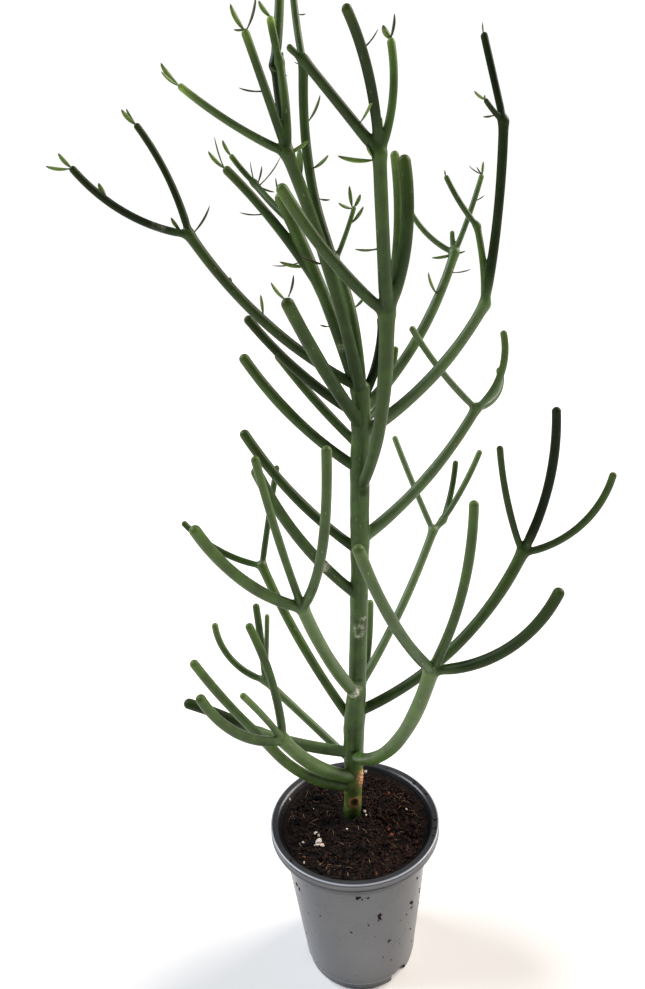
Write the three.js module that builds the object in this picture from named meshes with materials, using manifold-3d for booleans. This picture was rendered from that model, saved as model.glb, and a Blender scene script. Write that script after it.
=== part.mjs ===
// A rooted pencil cactus cutting (Euphorbia tirucalli) in a plain nursery pot.
// Millimetres, +Z up. The origin is the centre of the pot's base, on the surface it stands on.
// +X is the plant's right hand side and -Y its front.

import * as THREE from 'three';
import { mergeVertices } from 'three/addons/utils/BufferGeometryUtils.js';
import Module from 'manifold-3d';

const wasm = await Module();
wasm.setup();

// ---- driving sizes -------------------------------------------------------------------------

const fitGap = 0.3;              // clearance kept between pieces that touch

const potHeight = 163;
const potRimDiameter = 165;      // outside the lip, the widest part of the pot
const potLipWidth = 9;           // how far the lip reaches out past the wall
const potLipSkirt = 9;           // how far the lip's edge hangs down
const potLipTop = 7.5;           // how wide the lip's flat top is; the wall flares out to meet it
const potFlareDrop = 10;         // the flare starts this far below the top
const potFootDiameter = 112;
const potWall = 2.2;
const potFloor = 2.6;
const potFootHeight = 9;         // the slightly narrower foot ring
const potFootInset = 1.4;
const drainNotches = 3;
const firstNotchTurn = 101;      // degrees round from the plant's back, towards its left
const drainNotchWidth = 20;
const drainNotchHeight = 12;
const drainNotchReach = 11;      // how far each notch runs in from the foot's edge
const potSides = 36;

const soilBelowRim = 14;
const soilMound = 3;             // the soil is a little higher round the stem than at the wall

const stemBuried = 74;           // how deep the cutting was pushed into the soil
const stemFootX = -8;            // where its foot is, from the pot's axis
const stemFootY = 19;
const stemFootThick = 18.5;
const stemTopThick = 14.5;
const stemLength = 517;
const crownSpread = 5;           // the crown's shoots start this far off the stem's axis
const crownDrop = 4;             // and this far below its top
const neighbourReach = 60;       // shoots that start closer than this are trimmed to each other

const ringSpacing = 34;          // distance between the section rings of a pencil
const pathSteps = 24;            // straight steps in a pencil's centre line
const pencilSides = 8;
const thinPencilSides = 6;
const thinPencil = 6;            // pencils no thicker than this get the fewer sides

const leafThick = 1.1;
const leafSides = 6;

// ---- colours -------------------------------------------------------------------------------

const finishes = {
  pencil: { color: 0x3f6138, roughness: 0.5, metalness: 0 },
  bark: { color: 0x4f6a3c, roughness: 0.6, metalness: 0 },
  leaf: { color: 0x7f9d45, roughness: 0.55, metalness: 0 },
  pot: { color: 0x6a6d72, roughness: 0.45, metalness: 0 },
  soil: { color: 0x1f1512, roughness: 0.95, metalness: 0 },
};

// ---- growth --------------------------------------------------------------------------------

// A pencil is one year's shoot. It grows along an arc of the given length.
// heading: compass direction at its root and how far that drifts by its tip (0 is +X, 90 is +Y).
// slope: angle above level at its root and how much it steepens by its tip.
// thick: diameter at its root and at its tip. Its forks start at its tip unless they say otherwise.
function pencil(length, heading, slope, thick, forks = []) {
  return { length, heading, slope, thick, forks, along: 1 };
}

// A fork that starts part of the way up its pencil.
function partWay(along, shoot) {
  return { ...shoot, along };
}

const mainStem = pencil(stemLength, [0, 0], [85, 3], [stemFootThick, stemTopThick]);

// Every branch starts on the main stem's axis. at is how far up the stem that is, from 0 at the
// soil to 1 at its top. The crown's shoots start round the stem's top, on the side they name.
const branches = {
  lowest_left_branch: {
    at: 0.08,
    shoot: pencil(125, [210, -10], [25, 40], [10, 10], [
      pencil(115, [195, 5], [55, 10], [8, 8]),
    ]),
  },
  low_front_left_branch: {
    at: 0.105,
    shoot: pencil(130, [225, 0], [35, 25], [13, 12], [
      pencil(120, [230, -15], [25, 45], [9, 8]),
      pencil(120, [190, -5], [90, -20], [7.5, 7]),
      pencil(90, [240, -5], [60, -5], [6, 5.5]),
    ]),
  },
  low_back_left_branch: {
    at: 0.14,
    shoot: pencil(120, [150, 0], [35, 0], [8, 8], [
      pencil(85, [170, -10], [15, 75], [7, 6.5]),
      pencil(85, [120, -5], [90, -10], [7, 7]),
      pencil(70, [65, 0], [75, 5], [5, 5]),
    ]),
  },
  low_front_right_branch: {
    at: 0.16,
    shoot: pencil(255, [285, 10], [30, 40], [11, 11], [
      pencil(160, [235, 0], [45, 20], [8, 7]),
      pencil(135, [330, 5], [65, 25], [7, 6.5]),
      pencil(115, [335, 20], [10, 60], [8, 7.5]),
    ]),
  },
  low_left_branch: {
    at: 0.17,
    shoot: pencil(95, [180, 0], [10, 15], [11, 11], [
      pencil(80, [170, 5], [30, -10], [10, 10]),
    ]),
  },
  middle_back_left_branch: {
    at: 0.24,
    shoot: pencil(180, [150, -5], [50, 15], [9, 9], [
      pencil(90, [170, -5], [10, 40], [6.5, 6]),
      pencil(100, [70, -5], [60, 0], [6, 6]),
    ]),
  },
  low_right_branch: {
    at: 0.275,
    shoot: pencil(225, [5, 5], [20, 45], [10, 11], [
      pencil(105, [165, 0], [70, 15], [6.5, 6]),
      pencil(140, [-5, 0], [65, 30], [9, 8]),
      pencil(115, [340, 10], [15, 65], [7, 6.5]),
    ]),
  },
  back_branch: {
    at: 0.275,
    shoot: pencil(110, [60, 15], [45, 35], [7, 7]),
  },
  middle_front_left_branch: {
    at: 0.32,
    shoot: pencil(160, [240, 0], [50, 15], [12, 10.5], [
      pencil(130, [220, -10], [30, 35], [9.5, 8.5]),
      pencil(150, [245, -5], [65, 10], [6.5, 6]),
      pencil(170, [295, -10], [45, 40], [8, 7]),
    ]),
  },
  low_back_right_branch: {
    at: 0.33,
    shoot: pencil(175, [45, 0], [35, 20], [8, 8.5], [
      pencil(105, [125, 0], [55, 5], [6, 6]),
      pencil(16, [35, 0], [25, 10], [7, 7], [
        pencil(80, [20, 0], [50, 15], [6, 6]),
        pencil(65, [55, 10], [40, 30], [6, 6]),
      ]),
    ]),
  },
  lower_left_branch: {
    at: 0.555,
    shoot: pencil(160, [195, 0], [45, 25], [10, 9.5]),
  },
  middle_left_branch: {
    at: 0.655,
    shoot: pencil(150, [165, 0], [35, 25], [9, 9]),
  },
  middle_right_branch: {
    at: 0.68,
    shoot: pencil(155, [15, 5], [30, 25], [11, 8.5], [
      pencil(95, [185, 5], [45, 15], [6, 5.5]),
      pencil(75, [340, 0], [40, 65], [6.5, 6]),
      pencil(85, [40, 45], [0, 30], [6.5, 7]),
    ]),
  },
  front_leader: {
    at: 0.79,
    shoot: pencil(170, [290, -10], [45, 40], [9.5, 11.5], [
      pencil(115, [200, 0], [40, 20], [8, 8]),
      pencil(105, [260, 0], [70, 10], [10, 8.5], [
        pencil(70, [190, -5], [50, 0], [7, 6], [
          pencil(12, [190, 0], [35, 10], [4.5, 4]),
        ]),
        pencil(85, [250, -20], [80, -35], [6.5, 6]),
        pencil(65, [350, 0], [65, 35], [5.5, 5]),
      ]),
      pencil(105, [345, -5], [65, 35], [9, 8.5]),
    ]),
  },
  upper_left_branch: {
    at: 0.825,
    shoot: pencil(140, [175, 0], [35, 25], [9, 9]),
  },
  high_back_left_branch: {
    at: 0.87,
    shoot: pencil(110, [150, 0], [40, 10], [8, 8]),
  },
  upper_right_branch: {
    at: 0.895,
    shoot: pencil(145, [355, 5], [30, 30], [11, 8.5], [
      pencil(130, [350, 0], [80, 10], [7.5, 7], [
        pencil(60, [175, 0], [75, 0], [5.5, 5]),
        pencil(22, [200, 0], [35, 15], [4, 3.5]),
      ]),
      pencil(60, [115, 5], [90, -20], [5.5, 5], [
        pencil(45, [170, -5], [50, 15], [4.5, 4]),
      ]),
    ]),
  },
  upper_front_left_branch: {
    at: 0.915,
    shoot: pencil(145, [235, 0], [45, 10], [11, 9.5]),
  },
  upper_right_stub: {
    at: 0.915,
    shoot: pencil(90, [50, 15], [10, 60], [5.5, 6]),
  },
  high_left_branch: {
    at: 0.93,
    shoot: pencil(130, [160, -5], [30, 20], [8.5, 8]),
  },
  upper_back_right_branch: {
    at: 0.94,
    shoot: pencil(170, [35, 10], [30, 30], [10, 8], [
      pencil(55, [155, -5], [25, 35], [5, 4.5]),
      pencil(70, [30, -5], [60, 10], [5, 4.5]),
      pencil(20, [105, -15], [55, 35], [4.5, 4]),
    ]),
  },
  crown_right_shoot: {
    at: 0.96,
    shoot: pencil(70, [40, 5], [45, 40], [8, 8], [
      pencil(135, [50, 10], [55, 50], [7.5, 7]),
    ]),
  },
  highest_left_branch: {
    at: 0.985,
    shoot: pencil(180, [185, 0], [30, 30], [8.5, 8], [
      pencil(85, [165, 5], [80, -25], [6, 5]),
      pencil(95, [195, -5], [10, 45], [6, 5.5]),
    ]),
  },
  crown_front_shoot: {
    crownSide: 250,
    shoot: pencil(185, [230, 0], [75, -15], [10, 8.5], [
      pencil(80, [185, 5], [25, 15], [6, 4.5]),
      pencil(75, [215, -5], [70, 0], [6, 5.5]),
      pencil(55, [300, 0], [80, 25], [6, 5.5], [
        pencil(26, [220, 0], [75, 5], [5.5, 5]),
      ]),
      pencil(60, [105, 0], [60, 20], [5.5, 5], [
        pencil(60, [55, 0], [70, 15], [7, 6]),
      ]),
    ]),
  },
  crown_left_shoot: {
    crownSide: 170,
    shoot: pencil(160, [165, 0], [75, -10], [10, 9.5], [
      partWay(0.5, pencil(120, [165, 0], [60, -15], [8, 7])),
      partWay(0.85, pencil(55, [130, 0], [30, 10], [6, 5.5], [
        pencil(30, [160, 0], [45, 10], [5, 4.5]),
      ])),
    ]),
  },
  crown_back_shoot: {
    crownSide: 80,
    shoot: pencil(105, [105, 15], [85, -35], [8, 8], [
      pencil(50, [40, 0], [55, 10], [4, 4]),
      pencil(155, [130, -5], [60, 40], [8.5, 7.5], [
        pencil(70, [110, -5], [65, 20], [6, 5.5]),
      ]),
    ]),
  },
};

// The leaves that stand clear: on which branch, up which forks, how far along that pencil, then
// the leaf's own heading, slope, length and width.
const leaves = {
  leaf_high_left_1: { on: 'highest_left_branch', up: [1], along: 1, grow: [160, 45, 14, 3.2] },
  leaf_high_left_2: { on: 'highest_left_branch', up: [1], along: 0.98, grow: [195, 5, 16, 3] },
  leaf_high_left_3: { on: 'highest_left_branch', up: [1], along: 0.65, grow: [150, 60, 13, 4] },
  leaf_high_left_4: { on: 'highest_left_branch', up: [0], along: 1, grow: [170, 45, 15, 3.6] },
  leaf_high_left_5: { on: 'highest_left_branch', up: [], along: 0.99, grow: [20, 50, 24, 3] },
  leaf_front_left_1: { on: 'upper_front_left_branch', up: [], along: 1, grow: [190, 50, 16, 3] },
  leaf_front_left_2: { on: 'upper_front_left_branch', up: [], along: 0.98, grow: [350, 70, 15, 3] },
  leaf_crown_1: { on: 'crown_front_shoot', up: [0], along: 1, grow: [170, 50, 18, 3.6] },
  leaf_crown_2: { on: 'crown_front_shoot', up: [0], along: 0.97, grow: [215, 30, 14, 3] },
  leaf_crown_3: { on: 'crown_front_shoot', up: [1], along: 1, grow: [180, 60, 17, 4] },
  leaf_crown_4: { on: 'crown_front_shoot', up: [1], along: 0.97, grow: [355, 65, 20, 4] },
  leaf_crown_5: { on: 'crown_front_shoot', up: [], along: 0.55, grow: [200, 20, 18, 4] },
  leaf_crown_6: { on: 'crown_left_shoot', up: [], along: 0.62, grow: [188, 10, 22, 3.6] },
  leaf_crown_7: { on: 'crown_left_shoot', up: [0], along: 1, grow: [175, 45, 18, 3.6] },
  leaf_crown_8: { on: 'crown_left_shoot', up: [1, 0], along: 1, grow: [160, 60, 14, 3.2] },
  leaf_crown_9: { on: 'crown_back_shoot', up: [1], along: 0.5, grow: [340, 30, 17, 4] },
  leaf_crown_10: { on: 'crown_back_shoot', up: [0], along: 1, grow: [20, 55, 12, 3.4] },
  leaf_crown_11: { on: 'crown_back_shoot', up: [0], along: 0.95, grow: [195, 20, 13, 3.4] },
  leaf_leader_1: { on: 'front_leader', up: [1], along: 0.97, grow: [190, 5, 24, 3.6] },
  leaf_leader_2: { on: 'front_leader', up: [1, 0], along: 0.3, grow: [320, 50, 20, 3.6] },
  leaf_leader_3: { on: 'front_leader', up: [1, 2], along: 1, grow: [10, 75, 14, 3] },
  leaf_right_1: { on: 'upper_back_right_branch', up: [], along: 0.75, grow: [195, 65, 20, 4] },
  leaf_right_2: { on: 'upper_back_right_branch', up: [1], along: 1, grow: [60, 70, 12, 3] },
  leaf_right_3: { on: 'upper_right_branch', up: [0, 1], along: 1, grow: [190, 30, 11, 3] },
};

// ---- centre lines --------------------------------------------------------------------------

const radians = THREE.MathUtils.degToRad;

function direction(headingDegrees, slopeDegrees) {
  const level = Math.cos(radians(slopeDegrees));
  const heading = radians(headingDegrees);
  return new THREE.Vector3(
    level * Math.cos(heading),
    level * Math.sin(heading),
    Math.sin(radians(slopeDegrees)),
  );
}

function directionAlong(shoot, share) {
  const heading = shoot.heading[0] + share * shoot.heading[1];
  return direction(heading, shoot.slope[0] + share * shoot.slope[1]);
}

// The centre line as equal straight steps, each laid in the direction at its own middle.
function centreLine(shoot, root) {
  const points = [root.clone()];
  for (let step = 0; step < pathSteps; step += 1) {
    const way = directionAlong(shoot, (step + 0.5) / pathSteps);
    points.push(points[step].clone().addScaledVector(way, shoot.length / pathSteps));
  }
  return points;
}

function pointAlong(line, share) {
  const place = share * pathSteps;
  const step = THREE.MathUtils.clamp(Math.floor(place), 0, pathSteps - 1);
  return line[step].clone().lerp(line[step + 1], place - step);
}

const soilLevel = potHeight - soilBelowRim;
const stemRoot = new THREE.Vector3(stemFootX, stemFootY, soilLevel - stemBuried);
const stemLine = centreLine(mainStem, stemRoot);

// The point on the main stem's axis a share of the way from the soil to its top.
function stemPointAt(share) {
  const distance = THREE.MathUtils.lerp(stemBuried, stemLength, share);
  return pointAlong(stemLine, distance / stemLength);
}

function branchRoot(branch) {
  if (branch.crownSide === undefined) return stemPointAt(branch.at);
  const top = pointAlong(stemLine, 1 - crownDrop / stemLength);
  return top.addScaledVector(direction(branch.crownSide, 0), crownSpread);
}

// ---- solids --------------------------------------------------------------------------------

function toManifold(geometry) {
  const bare = geometry.clone();
  bare.deleteAttribute('normal');
  bare.deleteAttribute('uv');
  const merged = mergeVertices(bare, 1e-4);
  return new wasm.Manifold(new wasm.Mesh({
    numProp: 3,
    vertProperties: Float32Array.from(merged.attributes.position.array),
    triVerts: Uint32Array.from(merged.index.array),
  }));
}

function toGeometry(solid) {
  const { vertProperties, triVerts } = solid.getMesh();
  const geometry = new THREE.BufferGeometry();
  geometry.setAttribute('position', new THREE.BufferAttribute(vertProperties, 3));
  geometry.setIndex(new THREE.BufferAttribute(triVerts, 1));
  geometry.computeVertexNormals();
  return geometry;
}

// Bends a lathed spindle, which stands along its own Y axis, so that its axis follows a centre
// line. Past either end the axis runs straight on. flat squeezes the section across the path.
function bendAlong(geometry, line, length, flat = 1) {
  const start = line[1].clone().sub(line[0]).normalize();
  const finish = line[pathSteps].clone().sub(line[pathSteps - 1]).normalize();
  const position = geometry.attributes.position;
  for (let i = 0; i < position.count; i += 1) {
    const distance = position.getY(i);
    const share = THREE.MathUtils.clamp(distance / length, 0, 1);
    const beyond = distance - share * length;
    const way = start.clone().lerp(finish, share).normalize();
    const side = new THREE.Vector3(-way.y, way.x, 0).normalize();
    const face = side.clone().cross(way);
    const place = pointAlong(line, share).addScaledVector(way, beyond);
    place.addScaledVector(side, position.getX(i));
    place.addScaledVector(face, position.getZ(i) * flat);
    position.setXYZ(i, place.x, place.y, place.z);
  }
  return geometry;
}

// One pencil: a tapered round shoot with a domed tip. spare makes it fatter all over. Where it
// forks, the dome's centre is the fork; a free tip ends at the pencil's full length.
function pencilSolid(shoot, line, spare = 0) {
  const rootRadius = shoot.thick[0] / 2 + spare;
  const tipRadius = shoot.thick[1] / 2 + spare;
  const forksAtTip = shoot.forks.some((fork) => fork.along === 1);
  const domeCentre = forksAtTip ? shoot.length : shoot.length + spare - tipRadius;
  const rings = Math.max(2, Math.round(domeCentre / ringSpacing));
  const profile = [new THREE.Vector2(0, -0.7 * rootRadius)];
  for (let ring = 0; ring <= rings; ring += 1) {
    const share = ring / rings;
    const radius = THREE.MathUtils.lerp(rootRadius, tipRadius, share);
    profile.push(new THREE.Vector2(radius, share * domeCentre));
  }
  const shoulder = radians(48);
  profile.push(new THREE.Vector2(
    tipRadius * Math.cos(shoulder),
    domeCentre + tipRadius * Math.sin(shoulder),
  ));
  profile.push(new THREE.Vector2(0, domeCentre + tipRadius));
  const sides = shoot.thick[0] > thinPencil ? pencilSides : thinPencilSides;
  const spindle = new THREE.LatheGeometry(profile, sides);
  return toManifold(bendAlong(spindle, line, shoot.length));
}

// A shoot with everything that grows from it, as one solid.
function grow(shoot, root, spare = 0) {
  const line = centreLine(shoot, root);
  return shoot.forks.reduce(
    (solid, fork) => solid.add(grow(fork, pointAlong(line, fork.along), spare)),
    pencilSolid(shoot, line, spare),
  );
}

// ---- pieces --------------------------------------------------------------------------------

const group = new THREE.Group();

function addPiece(name, solid, finish) {
  const material = new THREE.MeshStandardMaterial(finishes[finish]);
  const mesh = new THREE.Mesh(toGeometry(solid), material);
  mesh.name = name;
  group.add(mesh);
}

// The pot: a tapered thin wall on a narrower foot, with a lip that turns out and down.
const lipRadius = potRimDiameter / 2;
const wallTopRadius = lipRadius - potLipWidth;
const footRadius = potFootDiameter / 2;

function wallRadiusAt(height) {
  return THREE.MathUtils.mapLinear(height, potFootHeight, potHeight, footRadius, wallTopRadius);
}

// The arches cut into the foot's edge, each made fatter all over by spare.
function notchSolids(spare = 0) {
  const arch = new THREE.Shape();
  const archRadius = drainNotchWidth / 2 + spare;
  const springing = drainNotchHeight - drainNotchWidth / 2;
  arch.moveTo(-archRadius, -1);
  arch.lineTo(archRadius, -1);
  arch.lineTo(archRadius, springing);
  arch.absarc(0, springing, archRadius, 0, Math.PI, false);
  arch.lineTo(-archRadius, -1);
  const depth = drainNotchReach + spare + lipRadius - footRadius;
  const cutter = new THREE.ExtrudeGeometry(arch, { depth, bevelEnabled: false, curveSegments: 5 });
  cutter.rotateX(Math.PI / 2).translate(0, lipRadius, 0);
  const solids = [];
  for (let notch = 0; notch < drainNotches; notch += 1) {
    const turn = radians(firstNotchTurn + (notch / drainNotches) * 360);
    solids.push(toManifold(cutter.clone().rotateZ(turn)));
  }
  return solids;
}

function latheSolid(outline) {
  const profile = outline.map(([radius, height]) => new THREE.Vector2(radius, height));
  return toManifold(new THREE.LatheGeometry(profile, potSides).rotateX(Math.PI / 2));
}

// The shell, with a small walled pocket behind each notch that keeps the soil in.
function potSolid() {
  const lipBevel = 1;
  const flareLevel = potHeight - potFlareDrop;
  const footOutline = [
    [0, 0],
    [footRadius - potFootInset, 0],
    [footRadius - potFootInset, potFootHeight - potFootInset],
    [footRadius, potFootHeight],
  ];
  const shell = latheSolid([
    ...footOutline,
    [wallRadiusAt(flareLevel), flareLevel],
    [lipRadius - potLipTop + potWall, potHeight - potWall],
    [lipRadius - potWall, potHeight - potWall],
    [lipRadius - potWall, potHeight - potLipSkirt],
    [lipRadius, potHeight - potLipSkirt],
    [lipRadius, potHeight - lipBevel],
    [lipRadius - lipBevel, potHeight],
    [lipRadius - potLipTop, potHeight],
    [wallRadiusAt(flareLevel) - potWall, flareLevel],
    [wallRadiusAt(potFootHeight) - potWall, potFootHeight],
    [footRadius - potFootInset - potWall, potFloor],
    [0, potFloor],
  ]);
  const filled = latheSolid([
    ...footOutline,
    [wallRadiusAt(flareLevel), flareLevel],
    [0, flareLevel],
  ]);
  let pot = shell;
  for (const pocket of notchSolids(potWall)) pot = pot.add(pocket.intersect(filled));
  for (const notch of notchSolids()) pot = pot.subtract(notch);
  return pot;
}

// The soil fills the pot to just below the lip and is moulded to its wall and its pockets.
function soilSolid() {
  const edgeLevel = soilLevel - soilMound;
  const edge = wallRadiusAt(edgeLevel) - potWall - fitGap;
  const body = latheSolid([
    [0, potFloor + fitGap],
    [footRadius - potFootInset - potWall - 2 * fitGap, potFloor + fitGap],
    [wallRadiusAt(potFootHeight) - potWall - fitGap, potFootHeight],
    [edge, edgeLevel],
    [0.75 * edge, soilLevel - 0.4 * soilMound],
    [0.4 * edge, soilLevel],
    [0, soilLevel],
  ]);
  return notchSolids(potWall + fitGap).reduce((soil, pocket) => soil.subtract(pocket), body);
}

const stemSpace = grow(mainStem, stemRoot, fitGap);
addPiece('pot', potSolid(), 'pot');
addPiece('soil', soilSolid().subtract(stemSpace), 'soil');
addPiece('main_stem', grow(mainStem, stemRoot), 'bark');

// Each branch stops against the stem, and against the shoots that start beside it.
const grown = [];
const branchSpaces = {};
for (const [name, branch] of Object.entries(branches)) {
  const root = branchRoot(branch);
  const beside = grown.filter((other) => other.root.distanceTo(root) < neighbourReach);
  let solid = grow(branch.shoot, root).subtract(stemSpace);
  for (const other of beside) solid = solid.subtract(other.space);
  addPiece(name, solid, 'pencil');
  const space = grow(branch.shoot, root, fitGap);
  grown.push({ root, space });
  branchSpaces[name] = space;
}

// A leaf is a thin pointed blade that springs from a pencil's skin and curves upward.
function leafSolid({ on, up, along, grow: [heading, slope, length, width] }) {
  let shoot = branches[on].shoot;
  let line = centreLine(shoot, branchRoot(branches[on]));
  for (const fork of up) {
    shoot = shoot.forks[fork];
    line = centreLine(shoot, pointAlong(line, shoot.along));
  }
  const way = direction(heading, slope);
  const thickness = THREE.MathUtils.lerp(shoot.thick[0], shoot.thick[1], along);
  const foot = pointAlong(line, along).addScaledVector(way, along < 1 ? thickness / 2 : fitGap);
  const blade = pencil(length, [heading, 0], [slope - 10, 25], [width, width]);
  const outline = [[0, 0], [0.3, 0.12], [0.5, 0.4], [0.42, 0.7], [0, 1]]
    .map(([across, share]) => new THREE.Vector2(across * width, share * length));
  const spindle = new THREE.LatheGeometry(outline, leafSides);
  const bent = bendAlong(spindle, centreLine(blade, foot), length, leafThick / width);
  return toManifold(bent).subtract(branchSpaces[on]);
}

for (const [name, leaf] of Object.entries(leaves)) addPiece(name, leafSolid(leaf), 'leaf');

export default group;
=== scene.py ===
import math
from functools import partial

import bmesh
import bpy
import numpy as np
from mathutils import Matrix, Vector


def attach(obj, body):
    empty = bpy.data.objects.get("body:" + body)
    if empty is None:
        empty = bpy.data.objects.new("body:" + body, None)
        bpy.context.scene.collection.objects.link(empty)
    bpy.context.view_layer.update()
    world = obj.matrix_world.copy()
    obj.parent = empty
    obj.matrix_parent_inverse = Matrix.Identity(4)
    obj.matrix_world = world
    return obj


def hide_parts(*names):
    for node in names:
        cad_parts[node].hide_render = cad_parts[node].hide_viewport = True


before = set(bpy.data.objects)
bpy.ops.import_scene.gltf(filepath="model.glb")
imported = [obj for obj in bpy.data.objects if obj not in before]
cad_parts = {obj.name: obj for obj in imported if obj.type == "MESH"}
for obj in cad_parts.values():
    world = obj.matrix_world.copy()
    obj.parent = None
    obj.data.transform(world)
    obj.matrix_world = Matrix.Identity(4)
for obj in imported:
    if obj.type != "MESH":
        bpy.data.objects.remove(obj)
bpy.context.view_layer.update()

print("frame loaded")

mm = 0.001  # every size below is in millimetres, and meshes are written in metres


# hex to the linear colour that shaders use: each channel c becomes ((c + 0.055) / 1.055) ^ 2.4
def linearColour(hexText):
    channels = np.array([int(hexText[i:i + 2], 16) for i in (1, 3, 5)]) / 255
    linear = np.where(channels <= 0.04045, channels / 12.92, ((channels + 0.055) / 1.055) ** 2.4)
    return (*linear.tolist(), 1.0)


# adds one shader node and returns its first output, or the one named: options are its own
# settings, links, values and hex colours go to its inputs, and stops are a colour ramp's places
# and colours
def addNode(tree, kind, values=None, stops=None, out=0, **options):
    node = tree.nodes.new("ShaderNode" + kind)
    for name, value in options.items():
        setattr(node, name, value)
    for name, value in (values or {}).items():
        if isinstance(value, bpy.types.NodeSocket):
            tree.links.new(value, node.inputs[name])
        else:
            node.inputs[name].default_value = linearColour(value) if isinstance(value, str) else value
    if stops:
        elements = node.color_ramp.elements
        while len(elements) < len(stops):
            elements.new(0.5)
        for element, (place, colour) in zip(elements, stops):
            element.position = place
            element.color = linearColour(colour)
    return node.outputs[out]


# a material with these values on its Principled shader, addNode for its own tree, and a helper
# that links sockets to the shader
def newMaterial(name, **values):
    material = bpy.data.materials.new(name)
    material.use_nodes = True
    tree = material.node_tree
    shader = tree.nodes["Principled BSDF"]
    for key, value in values.items():
        shader.inputs[key.replace("_", " ")].default_value = value

    def drive(**sockets):
        for key, socket in sockets.items():
            tree.links.new(socket, shader.inputs[key.replace("_", " ")])

    return material, partial(addNode, tree), drive


def solidMesh(name, points, faces):
    mesh = bpy.data.meshes.new(name)
    mesh.from_pydata((np.asarray(points) * mm).tolist(), [], list(faces))
    return mesh


def addObject(name, data):
    placed = bpy.data.objects.new(name, data)
    bpy.context.scene.collection.objects.link(placed)
    return placed


# a mesh object from points in millimetres and faces, riding on the plant's one body
def makePiece(name, points, faces, *finish, **extras):
    finishPiece(addObject(name, solidMesh(name, points, faces)), *finish, **extras)


def finishPiece(piece, material, slot, replaced=(), attributes=None, smooth=True):
    mesh = piece.data
    mesh.materials.clear()
    mesh.materials.append(material)
    mesh.polygons.foreach_set("use_smooth", np.full(len(mesh.polygons), smooth))
    for key, values in (attributes or {}).items():
        kind = "FLOAT_VECTOR" if values.ndim == 2 else "FLOAT"
        layer = mesh.attributes.new(key, kind, "POINT")
        layer.data.foreach_set("vector" if values.ndim == 2 else "value", values.astype(np.float32).ravel())
    mesh.update()
    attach(piece, "root")
    if replaced:
        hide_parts(*replaced)


# faces of a tube of points, rows x columns: each row is a closed ring, and the first and last
# ring are each filled by one face
def tubeFaces(rows, columns, start=0):
    row, column = np.meshgrid(np.arange(rows - 1), np.arange(columns), indexing="ij")
    here, beside = row * columns + column, row * columns + (column + 1) % columns
    sides = np.stack([here, beside, beside + columns, here + columns], -1).reshape(-1, 4) + start
    ring = np.arange(columns) + start
    return sides.tolist() + [ring[::-1].tolist(), (ring + (rows - 1) * columns).tolist()]


# how far a value has come from one mark to another, held between 0 and 1
def ramp(value, start, end):
    return np.clip((value - start) / (end - start), 0, 1)


# the angles of even steps round a circle
def evenTurns(count):
    return np.linspace(0, 2 * np.pi, count, endpoint=False)


# points a distance out from the upright axis, an angle round it and a height up it
def roundAxis(out, turn, height):
    return np.stack([out * np.cos(turn), out * np.sin(turn), height + 0 * out * turn], -1)


# smooth value noise: random values on a lattice of the given cell size, blended by 3t^2 - 2t^3
def softNoise(x, y, cell, seed):
    lattice = np.random.default_rng(seed).uniform(-1, 1, (97, 97))
    u, v = np.asarray(x) / cell + 40.5, np.asarray(y) / cell + 40.5
    i, j = np.floor(u).astype(int), np.floor(v).astype(int)
    a, b = u - i, v - j
    a, b = a * a * (3 - 2 * a), b * b * (3 - 2 * b)
    i, j = i % 96, j % 96
    low = lattice[i, j] * (1 - a) + lattice[i + 1, j] * a
    high = lattice[i, j + 1] * (1 - a) + lattice[i + 1, j + 1] * a
    return low * (1 - b) + high * b


# corners of an outline rounded to small arcs: each corner becomes points on the quadratic curve
# between two places a given reach along its sides
def roundedOutline(corners, reach, steps=5):
    corners = np.array(corners, float)
    result = [corners[0]]
    for before, corner, after in zip(corners[:-2], corners[1:-1], corners[2:]):
        back, on = before - corner, after - corner
        first = corner + back * min(0.45, reach / np.linalg.norm(back))
        last = corner + on * min(0.45, reach / np.linalg.norm(on))
        t = np.linspace(0, 1, steps)[:, None]
        result.extend((1 - t) ** 2 * first + 2 * t * (1 - t) * corner + t ** 2 * last)
    result.append(corners[-1])
    return np.array(result)


# Waxed skin of a succulent stem, grown: deep green under a thin grey-green bloom, with fine lines
# along the shoot and pale scars where leaves fell. The bloom spreads its highlight and cools it.
skinFinish = {
    "deepGreen": "#15270b",
    "midGreen": "#37561f",
    "youngGreen": "#8aa948",
    "bloom": "#586e47",
    "paintedLightGreen": "#8c9c7c",  # painted light: paler skin on the shoots behind, where more light falls
    "scar": "#9aa27c",
    # painted shade: the near-black green that shoots standing in shadow are mixed towards, partly their own
    # darker green
    "shade": "#081007",
    "olive": ("#3c4a20", "#7f8a44"),  # old skin near the foot
    "torn": ("#7a3a1c", "#e6b384"),  # bare wood and bark where the skin tore
    "cork": "#7f8a68",
    "crust": "#c9ccb4",
    "lineWidth": 0.55,  # mm between the fine lines, drawn a little coarser than the real ones
    "scarSpacing": 6.5,  # mm between leaf scars
    "mottle": 14,  # mm across a patch of lighter or darker green
}


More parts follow.
